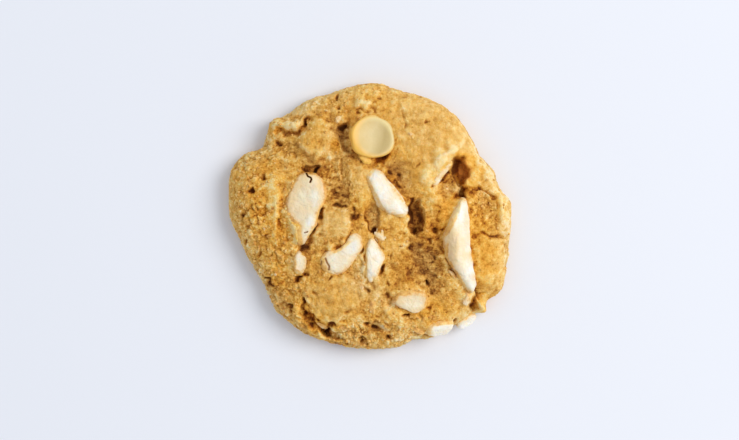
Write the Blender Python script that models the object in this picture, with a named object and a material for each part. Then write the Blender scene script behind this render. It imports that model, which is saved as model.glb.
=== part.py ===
"""A white chocolate macadamia cookie, baked flat side down.

The dough is one solid: a dome on a concentric grid whose edge follows a hand-set outline, with mounds, hollows and
crevices raised from named sizes. Macadamia pieces and one white chocolate chip lie in sockets cut into it.
X runs to the right and Y away as the cookie is seen from above, Z is up, and the flat bottom lies on Z = 0.
"""

import math
from collections import namedtuple

import bmesh
import bpy
import numpy as np
from mathutils import Matrix, Vector, noise

MM = 0.001

# Driving dimensions of the dough, in millimetres
DOME_HEIGHT = 11.0
WIDEST_HEIGHT = 2.6
FOOT_INSET = 1.6
DOME_POWER = 2.6
MEAN_RADIUS = 32.5
GRID_RINGS = 28
CRAG_HEIGHT = 0.45
CRAG_SIZE = 2.6
WOBBLE = 0.9
WOBBLE_SIZE = 5.0
FRAY = 0.3
FRAY_SIZE = 1.7
LEAST_WALL = 1.5

# How the pieces sit in the dough, in millimetres
CLEARANCE = 0.3
NUT_SUBDIVISIONS = 3
CHIP_STEPS = 28

# The cookie's edge seen from above: angle in degrees from +X, radius in millimetres
OUTLINE = (
    (0, 33.9), (6, 33.8), (12, 31.9), (20, 31.6), (30, 30.2), (36, 30.6), (50, 31.8), (65, 31.5),
    (80, 31.3), (88, 32.2), (95, 31.9), (105, 31.1), (120, 31.7), (130, 31.6), (136, 33.0), (141, 31.6),
    (148, 31.0), (153, 33.3), (160, 34.9), (170, 34.5), (180, 33.5), (190, 31.6), (200, 30.6), (212, 30.1),
    (225, 31.6), (240, 31.9), (255, 31.5), (270, 31.7), (280, 31.8), (290, 31.2), (298, 32.4), (305, 32.6),
    (312, 33.4), (318, 34.2), (320.5, 35.8), (323, 34.6), (330, 35.9), (340, 34.8), (350, 33.9),
)

# A rise or a hollow: its middle, half length, half width, the turn of its length from +X in degrees, its height
# and how steep its sides are (2 is a soft hill, 6 a plateau). Millimetres.
Form = namedtuple("Form", "x y length width turn height steepness")

MOUNDS = (
    Form(14.0, 17.5, 13.0, 8.5, -40, 1.3, 3),    # smooth swell, upper right
    Form(17.6, 14.6, 5.4, 2.4, 52, 0.7, 3),      # lip over the open cavity
    Form(-2.2, 8.0, 6.5, 3.0, 100, 1.1, 3),      # lobe beside the middle nut
    Form(14.4, 5.6, 5.0, 1.8, 115, 1.0, 3),      # ridge between the pit and the cavity
    Form(-8.5, -19.2, 7.4, 5.5, 10, 1.4, 5),     # low plateau, lower left
    Form(-8.6, -2.6, 5.0, 4.0, 40, 1.0, 5),      # plateau between the left nuts
    Form(28.8, -11.2, 6.6, 4.4, 95, 1.3, 5),     # lump at the right edge
    Form(27.4, 11.6, 7.0, 2.2, 122, 1.5, 2),     # rim above the right ledge
    Form(32.0, 1.5, 4.8, 1.3, 95, 1.1, 2),       # rim beside the right ledge
    Form(-12.4, 18.8, 4.6, 3.9, 80, 1.4, 6),     # flap, upper left
    Form(-19.3, 21.9, 3.4, 1.1, 5, 1.5, 3),      # ridge of crumb beyond the flap
    Form(-22.8, 22.2, 1.5, 1.4, 90, 1.2, 3),     # crumb at the end of that ridge
    Form(-22.4, 3.0, 7.5, 1.6, 93, 1.2, 2),      # ridge left of the large nut
    Form(-28.0, 5.0, 8.5, 3.8, 90, 0.8, 3),      # left shoulder
    Form(-1.2, 26.9, 2.4, 1.3, 0, 1.0, 3),       # crumb beyond the chip
    Form(6.5, -24.4, 3.4, 1.7, -40, 0.9, 4),     # lobe below the covered nut
    Form(27.1, -20.7, 2.2, 1.2, 80, 1.2, 3),     # nib of crumb, lower right
)

PITS = (
    Form(13.6, -11.0, 6.8, 4.2, 110, -1.5, 3),   # broad sag left of the long nut
    Form(16.3, -3.5, 3.8, 1.4, 95, -1.0, 2),     # its upper end
    Form(7.4, 9.4, 4.6, 1.6, 118, -0.8, 2),      # sag right of the middle nut
    Form(-9.9, 12.0, 2.4, 1.8, 30, -1.0, 2),     # hollow beyond the large nut
    Form(-19.6, 16.6, 3.2, 2.0, 20, -0.9, 3),    # hollow left of the flap
)

# A hollow with edges: its depth, how far its wall slopes in and its corners. Millimetres.
Hollow = namedtuple("Hollow", "depth wall corners")

HOLLOWS = (
    Hollow(1.5, 2.2, (                           # open cavity, its crumb floor
        (14.6, 8.0), (16.4, 9.6), (18.2, 11.4), (19.4, 13.7), (21.4, 15.0), (22.8, 14.4), (24.4, 11.8),
        (24.4, 8.4), (22.6, 6.4), (20.6, 4.8), (17.4, 4.2), (14.8, 5.4),
    )),
    Hollow(2.8, 1.1, (                           # open cavity, its deep side
        (18.6, 13.2), (19.8, 14.4), (21.8, 14.6), (23.2, 13.4), (24.2, 10.8), (23.4, 7.6), (21.4, 7.2),
        (19.4, 9.0), (18.4, 11.2),
    )),
    Hollow(3.2, 0.8, (                           # hole at the tip of the long nut
        (19.2, 3.8), (20.0, 5.6), (20.9, 7.2), (22.0, 8.0), (24.2, 7.5), (23.3, 6.0), (23.0, 4.0),
    )),
    Hollow(0.9, 1.8, (                           # ledge below the right rim
        (23.4, 7.2), (26.9, 6.9), (28.8, 5.8), (30.0, 4.2), (30.3, 2.0), (29.0, -0.6), (26.4, -1.4),
        (24.2, 0.6),
    )),
    Hollow(2.6, 1.5, (                           # long dark pit
        (9.4, 3.8), (11.2, 4.7), (12.6, 3.0), (13.3, 0.2), (13.0, -2.4), (12.3, -4.7), (10.9, -5.2),
        (9.6, -4.0), (8.8, 1.2),
    )),
    Hollow(0.8, 0.7, (                           # pocket above the sliver
        (-1.2, 1.8), (0.2, 3.5), (1.9, 2.9), (2.8, 1.0), (2.8, -1.4), (1.9, -3.4), (0.3, -4.1), (-0.7, -2.6),
    )),
    Hollow(1.8, 0.7, (                           # hole at the head of the large nut
        (-16.8, 11.4), (-15.6, 13.0), (-14.3, 12.5), (-12.6, 13.3), (-11.2, 11.8), (-12.4, 10.4), (-15.4, 10.2),
    )),
    Hollow(1.2, 1.2, (                           # gap left of the chip
        (-8.3, 21.4), (-7.0, 22.5), (-5.0, 22.7), (-4.4, 21.4), (-4.6, 17.0), (-3.0, 14.6), (-1.4, 13.4),
        (-3.6, 13.0), (-6.2, 15.2), (-8.5, 17.4), (-7.9, 19.6),
    )),
    Hollow(1.4, 0.8, (                           # gap below the chip
        (0.4, 13.0), (2.2, 14.3), (3.8, 15.5), (5.1, 15.0), (4.4, 13.6), (2.8, 12.5),
    )),
    Hollow(1.6, 1.4, (                           # sunken edge along the low plateau
        (-16.2, -18.4), (-14.4, -21.6), (-13.2, -24.0), (-11.4, -25.6), (-9.4, -26.2), (-6.4, -27.0),
        (-6.0, -29.6), (-9.0, -29.8), (-12.0, -28.4), (-15.0, -26.0), (-17.2, -22.6),
    )),
    Hollow(2.2, 0.9, (                           # dark hole at the low end of that edge
        (-12.0, -26.2), (-10.4, -25.8), (-8.8, -26.6), (-8.6, -28.4), (-10.2, -29.0), (-11.8, -27.8),
    )),
    Hollow(1.8, 0.9, (                           # hollow behind the nib
        (23.5, -19.4), (24.9, -18.6), (25.6, -20.0), (26.1, -21.6), (25.0, -22.5), (23.5, -22.1),
    )),
    Hollow(1.3, 1.0, (                           # crags along the bottom edge
        (-0.6, -25.0), (1.4, -24.3), (3.4, -25.3), (6.0, -26.0), (4.6, -28.0), (2.2, -27.6), (0.4, -28.2),
    )),
    Hollow(1.3, 0.9, ((2.4, -28.8), (4.6, -27.9), (5.9, -28.6), (5.4, -30.2), (3.4, -30.2))),
    Hollow(1.2, 0.9, ((-2.8, -29.0), (-1.0, -28.4), (0.2, -29.4), (-0.6, -30.6), (-2.6, -30.4))),
)

# A crevice: its half width, its depth and the points that it runs through. Millimetres.
Crevice = namedtuple("Crevice", "width depth points")

CREVICES = (
    Crevice(0.8, 1.4, ((-21.8, 20.8), (-20.0, 19.7), (-17.0, 20.0), (-15.8, 21.8), (-15.4, 23.0))),
    Crevice(0.7, 0.6, ((24.6, -4.6), (26.4, -4.0), (28.4, -4.4), (31.2, -4.3))),
    Crevice(0.8, 1.0, ((-17.4, -7.6), (-16.0, -7.4), (-14.2, -5.4), (-12.4, -1.2))),
    Crevice(0.7, 1.2, ((3.6, -18.0), (4.2, -19.2), (5.2, -20.2))),
)

# A macadamia piece: its thickness, how far its middle lies below the plain dome, its broken faces and its outline
# seen from above. A face is the direction that it faces, its slope from level, both in degrees, and its distance
# from the piece's middle. Millimetres.
Nut = namedtuple("Nut", "name thickness sunk faces outline")

NUTS = (
    Nut("macadamia_left", 5.4, 0.9, ((180, 4, 2.1), (-20, 36, 3.8)), (
        (-14.4, 10.8), (-12.0, 10.0), (-10.2, 7.2), (-9.8, 4.4), (-11.3, 1.0), (-12.8, -2.8), (-14.8, -5.9),
        (-17.0, -7.1), (-18.4, -3.6), (-20.0, 0.6), (-19.8, 4.8), (-18.2, 8.6), (-16.4, 10.4),
    )),
    Nut("macadamia_middle", 5.0, 0.4, ((35, 24, 2.1), (215, 30, 2.8)), (
        (1.2, 11.6), (2.9, 10.8), (4.4, 9.0), (6.7, 6.9), (8.5, 4.3), (9.2, 1.8), (8.1, -0.2), (6.0, -0.1),
        (4.0, 1.2), (2.2, 3.5), (0.8, 6.3), (-0.6, 8.5), (-0.8, 10.4),
    )),
    Nut("macadamia_bean", 4.6, 0.7, ((0, 0, 1.8), (-40, 42, 2.7)), (
        (-3.8, -3.5), (-2.1, -4.4), (-1.6, -6.4), (-2.7, -9.4), (-4.9, -12.2), (-7.2, -13.7), (-9.7, -13.9),
        (-11.6, -12.4), (-12.0, -10.2), (-10.8, -8.3), (-8.8, -7.6), (-7.0, -7.2), (-5.4, -5.6),
    )),
    Nut("macadamia_sliver", 4.8, 0.8, ((10, 16, 1.9), (185, 40, 1.9)), (
        (0.2, -4.4), (1.7, -5.9), (3.3, -8.0), (3.9, -9.7), (3.2, -11.6), (2.5, -13.6), (1.2, -15.2),
        (-0.2, -15.9), (-1.1, -14.4), (-1.4, -11.4), (-1.1, -7.8),
    )),
    Nut("macadamia_long", 6.0, 0.8, ((12, 14, 2.4), (190, 44, 3.2)), (
        (21.2, 4.9), (22.8, 4.8), (23.2, 2.0), (23.3, -1.5), (23.8, -5.5), (24.0, -9.0), (24.7, -13.0),
        (25.1, -16.4), (24.4, -18.8), (23.0, -17.8), (20.9, -14.8), (18.9, -11.6), (17.6, -8.0), (17.3, -4.6),
        (18.4, -1.0), (20.0, 2.2),
    )),
    Nut("macadamia_wedge", 3.6, 0.5, ((0, 12, 1.4),), (
        (-16.9, -8.0), (-15.7, -8.8), (-15.0, -10.3), (-15.1, -12.1), (-16.0, -13.3), (-17.6, -13.1),
        (-18.1, -11.1), (-17.8, -9.1),
    )),
    Nut("macadamia_covered", 4.2, 0.45, ((-60, 8, 1.5),), (
        (7.0, -17.5), (9.8, -16.8), (12.4, -17.4), (13.9, -19.4), (13.2, -21.4), (11.2, -22.7), (8.6, -22.2),
        (6.2, -21.0), (5.1, -19.4),
    )),
    Nut("macadamia_edge_large", 3.8, 0.3, ((-80, 10, 1.5),), (
        (13.4, -25.8), (15.8, -24.6), (18.4, -24.2), (19.8, -25.0), (19.4, -26.7), (17.2, -28.0), (14.8, -28.4),
        (13.1, -27.5),
    )),
    Nut("macadamia_edge_small", 3.6, -0.4, ((-45, 10, 1.4),), (
        (21.2, -24.0), (22.8, -22.9), (24.6, -22.7), (25.5, -23.6), (24.8, -25.1), (23.0, -26.2), (21.2, -26.6),
        (20.6, -25.4),
    )),
    Nut("macadamia_lip", 3.2, -0.1, ((-40, 24, 1.3),), (
        (14.4, 7.6), (15.3, 10.0), (16.9, 12.2), (19.2, 13.8), (20.0, 13.0), (18.6, 10.9), (17.0, 8.8),
        (15.5, 7.2),
    )),
)
NUT_SQUARENESS = 2.7
STEEPEST_LEAN = 28
NUT_ROUGHNESS = 0.2
NUT_ROUGHNESS_SIZE = 3.0

# The chip, upside down in the dough with its dished base on top: its middle, and its lean towards a direction
CHIP_MIDDLE = (0.6, 18.95)
CHIP_PROUD = 1.9
CHIP_LEAN = 15
CHIP_LEAN_TOWARDS = 35
# Its turned outline from the middle of the dish to the buried tip: radius and height, in millimetres
CHIP_PROFILE = (
    (0.0, -0.55), (2.3, -0.45), (4.0, -0.12), (4.7, 0.0), (5.1, -0.2), (5.25, -0.8),
    (5.15, -1.8), (4.5, -3.2), (3.2, -4.6), (1.4, -5.8), (0.0, -6.2),
)

DOUGH_COLOUR = (0.62, 0.36, 0.12, 1)
NUT_COLOUR = (0.86, 0.74, 0.54, 1)
CHIP_COLOUR = (0.80, 0.62, 0.28, 1)


def clear_scene():
    for old in list(bpy.data.objects):
        bpy.data.objects.remove(old)


def material(name, colour, roughness):
    made = bpy.data.materials.new(name)
    made.use_nodes = True
    shader = made.node_tree.nodes["Principled BSDF"]
    shader.inputs["Base Color"].default_value = colour
    shader.inputs["Roughness"].default_value = roughness
    shader.inputs["Metallic"].default_value = 0.0
    return made


def smoothstep(low, high, value):
    share = np.clip((value - low) / (high - low), 0, 1)
    return share * share * (3 - 2 * share)


def outline_radius(angle):
    """The cookie's radius at these angles: a smooth closed curve through OUTLINE."""
    corners, radii = np.array(OUTLINE).T
    turn = np.degrees(angle) % 360
    after = np.searchsorted(corners, turn, side="right")
    knots = np.concatenate([corners[-2:] - 360, corners, corners[:2] + 360])
    values = np.concatenate([radii[-2:], radii, radii[:2]])
    slopes = np.gradient(values, knots)
    start = after + 1
    span = knots[start + 1] - knots[start]
    share = (turn - knots[start]) / span
    rise = smoothstep(0, 1, share)
    leave = share * (1 - share) ** 2 * span * slopes[start]
    arrive = share**2 * (share - 1) * span * slopes[start + 1]
    return values[start] * (1 - rise) + values[start + 1] * rise + leave + arrive


def dome_profile(share):
    """Radius (1 at the widest), height in mm and outward slope at these shares of the way from top to foot."""
    swing = np.linspace(0, math.pi / 2, 400)
    top_radius = np.sin(swing) ** (2 / DOME_POWER)
    top_height = WIDEST_HEIGHT + (DOME_HEIGHT - WIDEST_HEIGHT) * np.cos(swing) ** (2 / DOME_POWER)
    foot_radius = 1 - FOOT_INSET / MEAN_RADIUS * (1 - np.cos(swing[1:]))
    foot_height = WIDEST_HEIGHT * (1 - np.sin(swing[1:]))
    radius = np.concatenate([top_radius, foot_radius])
    height = np.concatenate([top_height, foot_height])
    steps = np.hypot(np.diff(radius) * MEAN_RADIUS, np.diff(height))
    travelled = np.concatenate([[0], np.cumsum(steps)])
    travelled /= travelled[-1]
    out = -np.gradient(height, travelled)
    up = np.gradient(radius * MEAN_RADIUS, travelled)
    size = np.hypot(out, up)
    return tuple(np.interp(share, travelled, line) for line in (radius, height, out / size, up / size))


def dome_grid(rings):
    """A plain dome on a concentric grid of points: ring 0 is the top's middle and the last ring is the foot.

    Gives each point's ring, place in millimetres and outward direction.
    """
    steps = np.arange(-rings, rings + 1)
    column, row = (axis.ravel() for axis in np.meshgrid(steps, steps))
    ring = np.maximum(abs(column), abs(row))
    safe = np.where(ring == 0, 1, ring)
    quarter = math.pi / 4
    angle = np.where(
        abs(column) >= abs(row),
        quarter * row / safe * np.sign(column) + np.where(column < 0, math.pi, 0),
        2 * quarter - quarter * column / safe * np.sign(row) + np.where(row < 0, math.pi, 0),
    )
    radius, height, out, up = dome_profile(ring / rings)
    reach = radius * outline_radius(angle)
    points = np.column_stack([reach * np.cos(angle), reach * np.sin(angle), height])
    return ring, points, np.column_stack([out * np.cos(angle), out * np.sin(angle), up])


def drift(place):
    """A shift that changes smoothly from place to place, up to about 1 each way."""
    return Vector(noise.noise(place + Vector((0, 0, 10 * axis + 5))) for axis in range(3))


def ragged(x, y):
    """These places moved about a little, which gives the forms uneven edges."""
    moved = []
    for place in zip(x, y):
        place = Vector((*place, 0))
        shift = WOBBLE * drift(place / WOBBLE_SIZE) + FRAY * drift(place / FRAY_SIZE)
        moved.append((place + shift).to_2d())
    return np.array(moved).T


def form_height(form, x, y):
    """What one form adds at these places."""
    turn = math.radians(form.turn)
    along = (x - form.x) * math.cos(turn) + (y - form.y) * math.sin(turn)
    across = (y - form.y) * math.cos(turn) - (x - form.x) * math.sin(turn)
    away = np.hypot(along / form.length, across / form.width)
    return form.height * np.exp(-(away**form.steepness))


def forms_height(forms, x, y):
    return sum(form_height(form, x, y) for form in forms)


def distance_to_path(points, x, y):
    """The distance from these places to a path through the points."""
    nearest = np.full(np.shape(x), np.inf)
    for (x0, y0), (x1, y1) in zip(points, points[1:]):
        dx, dy = x1 - x0, y1 - y0
        share = np.clip(((x - x0) * dx + (y - y0) * dy) / (dx * dx + dy * dy), 0, 1)
        nearest = np.minimum(nearest, np.hypot(x - x0 - share * dx, y - y0 - share * dy))
    return nearest


def hollow_depth(hollow, x, y):
    """How far a hollow goes down at these places."""
    loop = hollow.corners + hollow.corners[:1]
    inside = np.zeros(np.shape(x), dtype=bool)
    for (x0, y0), (x1, y1) in zip(loop, loop[1:]):
        spans = (y0 > y) != (y1 > y)
        inside ^= spans & (x < x0 + (y - y0) * (x1 - x0) / np.where(y1 == y0, 1, y1 - y0))
    wall = max(hollow.wall, LEAST_WALL)
    return hollow.depth * smoothstep(0, wall, np.where(inside, distance_to_path(loop, x, y), 0))


def crevices_depth(crevices, x, y):
    depth = np.zeros(np.shape(x))
    for crevice in crevices:
        away = distance_to_path(crevice.points, x, y) / crevice.width
        depth = np.maximum(depth, crevice.depth * np.exp(-(away**2)))
    return depth


def relief(x, y):
    """How far the dough rises above its plain dome at these places."""
    rise = forms_height(MOUNDS + PITS, x, y) - crevices_depth(CREVICES, x, y)
    return rise - sum(hollow_depth(hollow, x, y) for hollow in HOLLOWS)


def crags(points):
    """Two sizes of lumpy noise, from -1 to 1, at points in millimetres."""
    rough = []
    for point in points:
        place = Vector(point) / CRAG_SIZE
        rough.append(0.65 * noise.noise(place) + 0.35 * noise.noise(place * 2.1))
    return np.array(rough)


def formed_dome(rings):
    """The dome with its forms and crags: each point's ring, place in millimetres and outward direction.

    Gives the height of the forms at each point as well.
    """
    ring, points, normal = dome_grid(rings)
    rise = relief(*ragged(points[:, 0], points[:, 1])) * smoothstep(0.0, 0.6, normal[:, 2])
    points[:, 2] += rise
    rough = crags(points) * CRAG_HEIGHT
    points += np.where(ring == rings, 0, rough)[:, None] * normal
    return ring, points, normal, rise + rough


def dome_height(x, y):
    """The height of the plain dome at one place."""
    reach = math.hypot(x, y) / float(outline_radius(np.array([math.atan2(y, x)]))[0])
    swing = math.asin(min(reach, 1.0) ** (DOME_POWER / 2))
    return WIDEST_HEIGHT + (DOME_HEIGHT - WIDEST_HEIGHT) * math.cos(swing) ** (2 / DOME_POWER)


def build_dough():
    """The dough before its sockets are cut."""
    side = 2 * GRID_RINGS + 1
    mesh = bmesh.new()
    ring, points, _, _ = formed_dome(GRID_RINGS)
    points[:, 2] = np.where(ring == GRID_RINGS, 0, np.maximum(points[:, 2], 0.2))
    corners = [mesh.verts.new(Vector(point) * MM) for point in points]
    for row in range(side - 1):
        for column in range(side - 1):
            first = row * side + column
            mesh.faces.new([corners[k] for k in (first, first + 1, first + side + 1, first + side)])
    foot = [edge for edge in mesh.edges if edge.is_boundary]
    bmesh.ops.contextual_create(mesh, geom=foot)
    bmesh.ops.recalc_face_normals(mesh, faces=mesh.faces)
    return new_object("cookie_dough", mesh, material("baked_dough", DOUGH_COLOUR, 0.8))


def new_object(name, mesh, finish):
    data = bpy.data.meshes.new(name)
    mesh.to_mesh(data)
    mesh.free()
    data.shade_smooth()
    made = bpy.data.objects.new(name, data)
    made.data.materials.append(finish)
    bpy.context.scene.collection.objects.link(made)
    return made


def closed_curve(points, share):
    """The places at these shares of the way round a smooth closed curve through the points."""
    points = np.array(points)
    count = len(points)
    spans = np.linalg.norm(np.roll(points, -1, axis=0) - points, axis=1)
    starts = np.concatenate([[0], np.cumsum(spans)])
    way = (share % 1) * starts[-1]
    index = np.clip(np.searchsorted(starts, way, side="right") - 1, 0, count - 1)
    part = ((way - starts[index]) / spans[index])[:, None]
    before, first, second, after = (points[(index + step) % count] for step in (-1, 0, 1, 2))
    return 0.5 * (
        2 * first
        + (second - before) * part
        + (2 * before - 5 * first + 4 * second - after) * part**2
        + (3 * first - before - 3 * second + after) * part**3
    )


def nut_points(nut, directions):
    """Where the piece's skin lies in these directions from its middle, in millimetres and level."""
    middle = closed_curve(nut.outline, np.linspace(0, 1, 60)).mean(axis=0)
    turn = np.arctan2(directions[:, 1], directions[:, 0])
    edge = closed_curve(nut.outline, -turn / (2 * math.pi)) - middle
    level = np.hypot(directions[:, 0], directions[:, 1])
    power = 2 / NUT_SQUARENESS
    rise = np.sign(directions[:, 2]) * abs(directions[:, 2]) ** power * nut.thickness / 2
    points = np.column_stack([edge * (level**power)[:, None], rise])
    for facing, slope, reach in nut.faces:
        facing, slope = math.radians(facing), math.radians(slope)
        outward = (math.sin(slope) * math.cos(facing), math.sin(slope) * math.sin(facing), math.cos(slope))
        over = np.maximum(points @ outward - reach, 0)
        points = points - 0.9 * over[:, None] * outward
    for point in points:
        place = (Vector(point) + Vector((*middle, 0))) / NUT_ROUGHNESS_SIZE
        point *= 1 + NUT_ROUGHNESS * noise.noise(place) / np.linalg.norm(point)
    return points


def nut_place(nut):
    """The matrix that sinks the piece in the dough and leans it with the dome, in millimetres."""
    x, y = closed_curve(nut.outline, np.linspace(0, 1, 60)).mean(axis=0)
    inward = 1 - 1 / math.hypot(x, y)
    drop = math.atan(dome_height(x * inward, y * inward) - dome_height(x, y))
    lean = Matrix.Rotation(min(drop, math.radians(STEEPEST_LEAN)), 4, Vector((-y, x, 0)))
    return Matrix.Translation((x, y, dome_height(x, y) - nut.sunk)) @ lean


def build_nut(nut, finish):
    mesh = bmesh.new()
    bmesh.ops.create_icosphere(mesh, subdivisions=NUT_SUBDIVISIONS, radius=1)
    place = nut_place(nut)
    directions = np.array([vertex.co.normalized() for vertex in mesh.verts])
    for vertex, point in zip(mesh.verts, nut_points(nut, directions)):
        vertex.co = place @ Vector(point) * MM
    return new_object(nut.name, mesh, finish)


def chip_place():
    """The matrix that leans the chip and sets it in the dough, in millimetres."""
    x, y = CHIP_MIDDLE
    towards = math.radians(CHIP_LEAN_TOWARDS)
    across = Vector((-math.sin(towards), math.cos(towards), 0))
    lean = Matrix.Rotation(math.radians(CHIP_LEAN), 4, across)
    return Matrix.Translation((x, y, dome_height(x, y) + CHIP_PROUD)) @ lean


def build_chip(finish):
    mesh = bmesh.new()
    profile = [mesh.verts.new((radius * MM, 0, height * MM)) for radius, height in CHIP_PROFILE]
    edges = [mesh.edges.new(pair) for pair in zip(profile, profile[1:])]
    bmesh.ops.spin(
        mesh, geom=profile + edges, cent=(0, 0, 0), axis=(0, 0, 1), angle=2 * math.pi, steps=CHIP_STEPS,
    )
    bmesh.ops.remove_doubles(mesh, verts=mesh.verts, dist=0.01 * MM)
    bmesh.ops.recalc_face_normals(mesh, faces=mesh.faces)
    place = chip_place()
    for vertex in mesh.verts:
        vertex.co = place @ (vertex.co / MM) * MM
    return new_object("white_chocolate_chip", mesh, finish)


def socket_cutter(piece):
    """A copy of a piece, grown by the clearance, that cuts its socket."""
    mesh = bmesh.new()
    mesh.from_mesh(piece.data)
    mesh.normal_update()
    grown = [vertex.co + vertex.normal * CLEARANCE * MM for vertex in mesh.verts]
    for vertex, place in zip(mesh.verts, grown):
        vertex.co = place
    cutter = new_object("socket_" + piece.name, mesh, piece.data.materials[0])
    cutter.hide_render = True
    cutter.display_type = "WIRE"
    return cutter


def cut_sockets(dough, pieces):
    for piece in pieces:
        cut = dough.modifiers.new("socket_" + piece.name, "BOOLEAN")
        cut.operation = "DIFFERENCE"
        cut.object = socket_cutter(piece)


def drop_scraps(dough):
    """Applies the cuts and keeps the largest body, without the loose scraps of dough that they leave."""
    graph = bpy.context.evaluated_depsgraph_get()
    cut = bpy.data.meshes.new_from_object(dough.evaluated_get(graph))
    dough.modifiers.clear()
    mesh = bmesh.new()
    mesh.from_mesh(cut)
    left = set(mesh.verts)
    bodies = []
    while left:
        body = {left.pop()}
        edge_of_body = list(body)
        while edge_of_body:
            vertex = edge_of_body.pop()
            for edge in vertex.link_edges:
                other = edge.other_vert(vertex)
                if other not in body:
                    body.add(other)
                    edge_of_body.append(other)
        left -= body
        bodies.append(body)
    largest = max(bodies, key=len)
    scraps = [vertex for vertex in mesh.verts if vertex not in largest]
    bmesh.ops.delete(mesh, geom=scraps, context="VERTS")
    mesh.to_mesh(cut)
    mesh.free()
    dough.data = cut


def main():
    clear_scene()
    dough = build_dough()
    nut_finish = material("macadamia", NUT_COLOUR, 0.5)
    pieces = [build_nut(nut, nut_finish) for nut in NUTS]
    pieces.append(build_chip(material("white_chocolate", CHIP_COLOUR, 0.35)))
    cut_sockets(dough, pieces)
    drop_scraps(dough)


main()
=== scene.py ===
import math
from collections import namedtuple

import bmesh
import bpy
import numpy as np
from mathutils import Matrix, Vector, noise
from mathutils.bvhtree import BVHTree
from mathutils.kdtree import KDTree


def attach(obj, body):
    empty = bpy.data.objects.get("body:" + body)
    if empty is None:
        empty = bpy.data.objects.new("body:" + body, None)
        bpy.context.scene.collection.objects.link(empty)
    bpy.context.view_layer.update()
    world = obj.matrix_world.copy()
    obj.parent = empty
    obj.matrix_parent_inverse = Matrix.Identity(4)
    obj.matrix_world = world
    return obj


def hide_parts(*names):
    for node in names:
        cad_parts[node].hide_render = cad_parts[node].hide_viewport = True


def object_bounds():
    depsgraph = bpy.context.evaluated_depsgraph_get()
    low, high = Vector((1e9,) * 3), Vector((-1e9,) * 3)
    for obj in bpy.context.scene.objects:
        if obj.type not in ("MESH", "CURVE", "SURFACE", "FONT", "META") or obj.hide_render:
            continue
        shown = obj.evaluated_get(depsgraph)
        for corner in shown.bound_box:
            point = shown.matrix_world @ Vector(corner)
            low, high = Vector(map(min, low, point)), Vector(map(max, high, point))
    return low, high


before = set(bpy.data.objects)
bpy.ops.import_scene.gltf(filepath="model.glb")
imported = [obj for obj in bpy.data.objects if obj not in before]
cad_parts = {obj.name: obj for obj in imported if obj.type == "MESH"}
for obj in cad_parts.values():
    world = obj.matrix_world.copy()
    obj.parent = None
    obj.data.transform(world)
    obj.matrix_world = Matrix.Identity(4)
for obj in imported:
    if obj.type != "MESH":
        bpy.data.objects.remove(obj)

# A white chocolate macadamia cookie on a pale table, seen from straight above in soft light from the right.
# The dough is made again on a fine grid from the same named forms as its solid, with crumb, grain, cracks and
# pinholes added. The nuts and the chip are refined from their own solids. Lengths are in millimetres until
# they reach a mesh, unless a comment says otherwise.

cad_size = [list(corner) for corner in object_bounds()]

MM = 0.001
SEED = 7

# The dough's driving sizes. All are as in its solid, except that the solid, with its larger faces, has a FRAY
# of 0.3 and a LEAST_WALL of 1.5.
DOME_HEIGHT = 11.0
WIDEST_HEIGHT = 2.6
FOOT_INSET = 1.6
DOME_POWER = 2.6
MEAN_RADIUS = 32.5
CRAG_HEIGHT = 0.45
CRAG_SIZE = 2.6
WOBBLE = 0.9
WOBBLE_SIZE = 5.0
FRAY = 0.9
FRAY_SIZE = 1.7
LEAST_WALL = 0.5

# The fine grid, and the belt inside the CAD model's box in which pieces are eased back
GRID_RINGS = 146
GRID_SIDE = 2 * GRID_RINGS + 1
EASE = 0.6

# The crust: how coarse it usually is from 0 to 1, the sizes of its packed crumbs, how deep its pinholes go,
# the least height of all but its foot, and how many loose crumbs lie on it
COARSENESS = 0.45
LARGE_CRUMB = 1.7
SMALL_CRUMB = 0.85
PINHOLE_DEPTH = 1.4
LOWEST_CRUST = 0.15
CRUMB_COUNT = 420
# How near to a nut the crust rises, and how thick it lies on a nut that it has run over
COLLAR_REACH = 1.1
SMEAR_THICKNESS = 0.25

# The nuts and the chip: how often each mesh is subdivided, how far dust reaches in over a nut, how deep its
# cracks are, and the height, size and seed of the lumps on it
NUT_LEVELS = 3
CHIP_LEVELS = 2
DUST_REACH = 1.6
NUT_CRACK_DEPTH = 0.4
NUT_LUMPS = ((0.22, 3.0, 61), (0.10, 1.1, 63), (0.04, 0.5, 65))
# Half a scrap's height
SCRAP_HALF_HEIGHT = 0.7
# Where the chip has run a little, at its lower edge: the drop's place, half sizes and height over the dough
CHIP_DROP = (-1.2, 13.9)
CHIP_DROP_SIZES = (1.6, 1.1, 0.9)
CHIP_DROP_RISE = 0.5

# Further up or down than anything on the table
FAR = 30.0

# What the camera sees: the width of its view and the middle of it
VIEW_WIDTH = 177.4
VIEW_MIDDLE = (-0.12, -0.72)

DOUGH_NODE = "cookie_dough"
CHIP_NODE = "white_chocolate_chip"
NUT_NODES = sorted(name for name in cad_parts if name.startswith("macadamia"))
# How white each nut is, from cream at 0
WHITENESS = {
    "left": 0.1, "middle": 0.75, "bean": 0.55, "sliver": 0.75, "long": 0.6, "wedge": 0.7, "covered": 0.05,
    "edge_large": 0.75, "edge_small": 0.8, "lip": 0.5,
}

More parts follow.
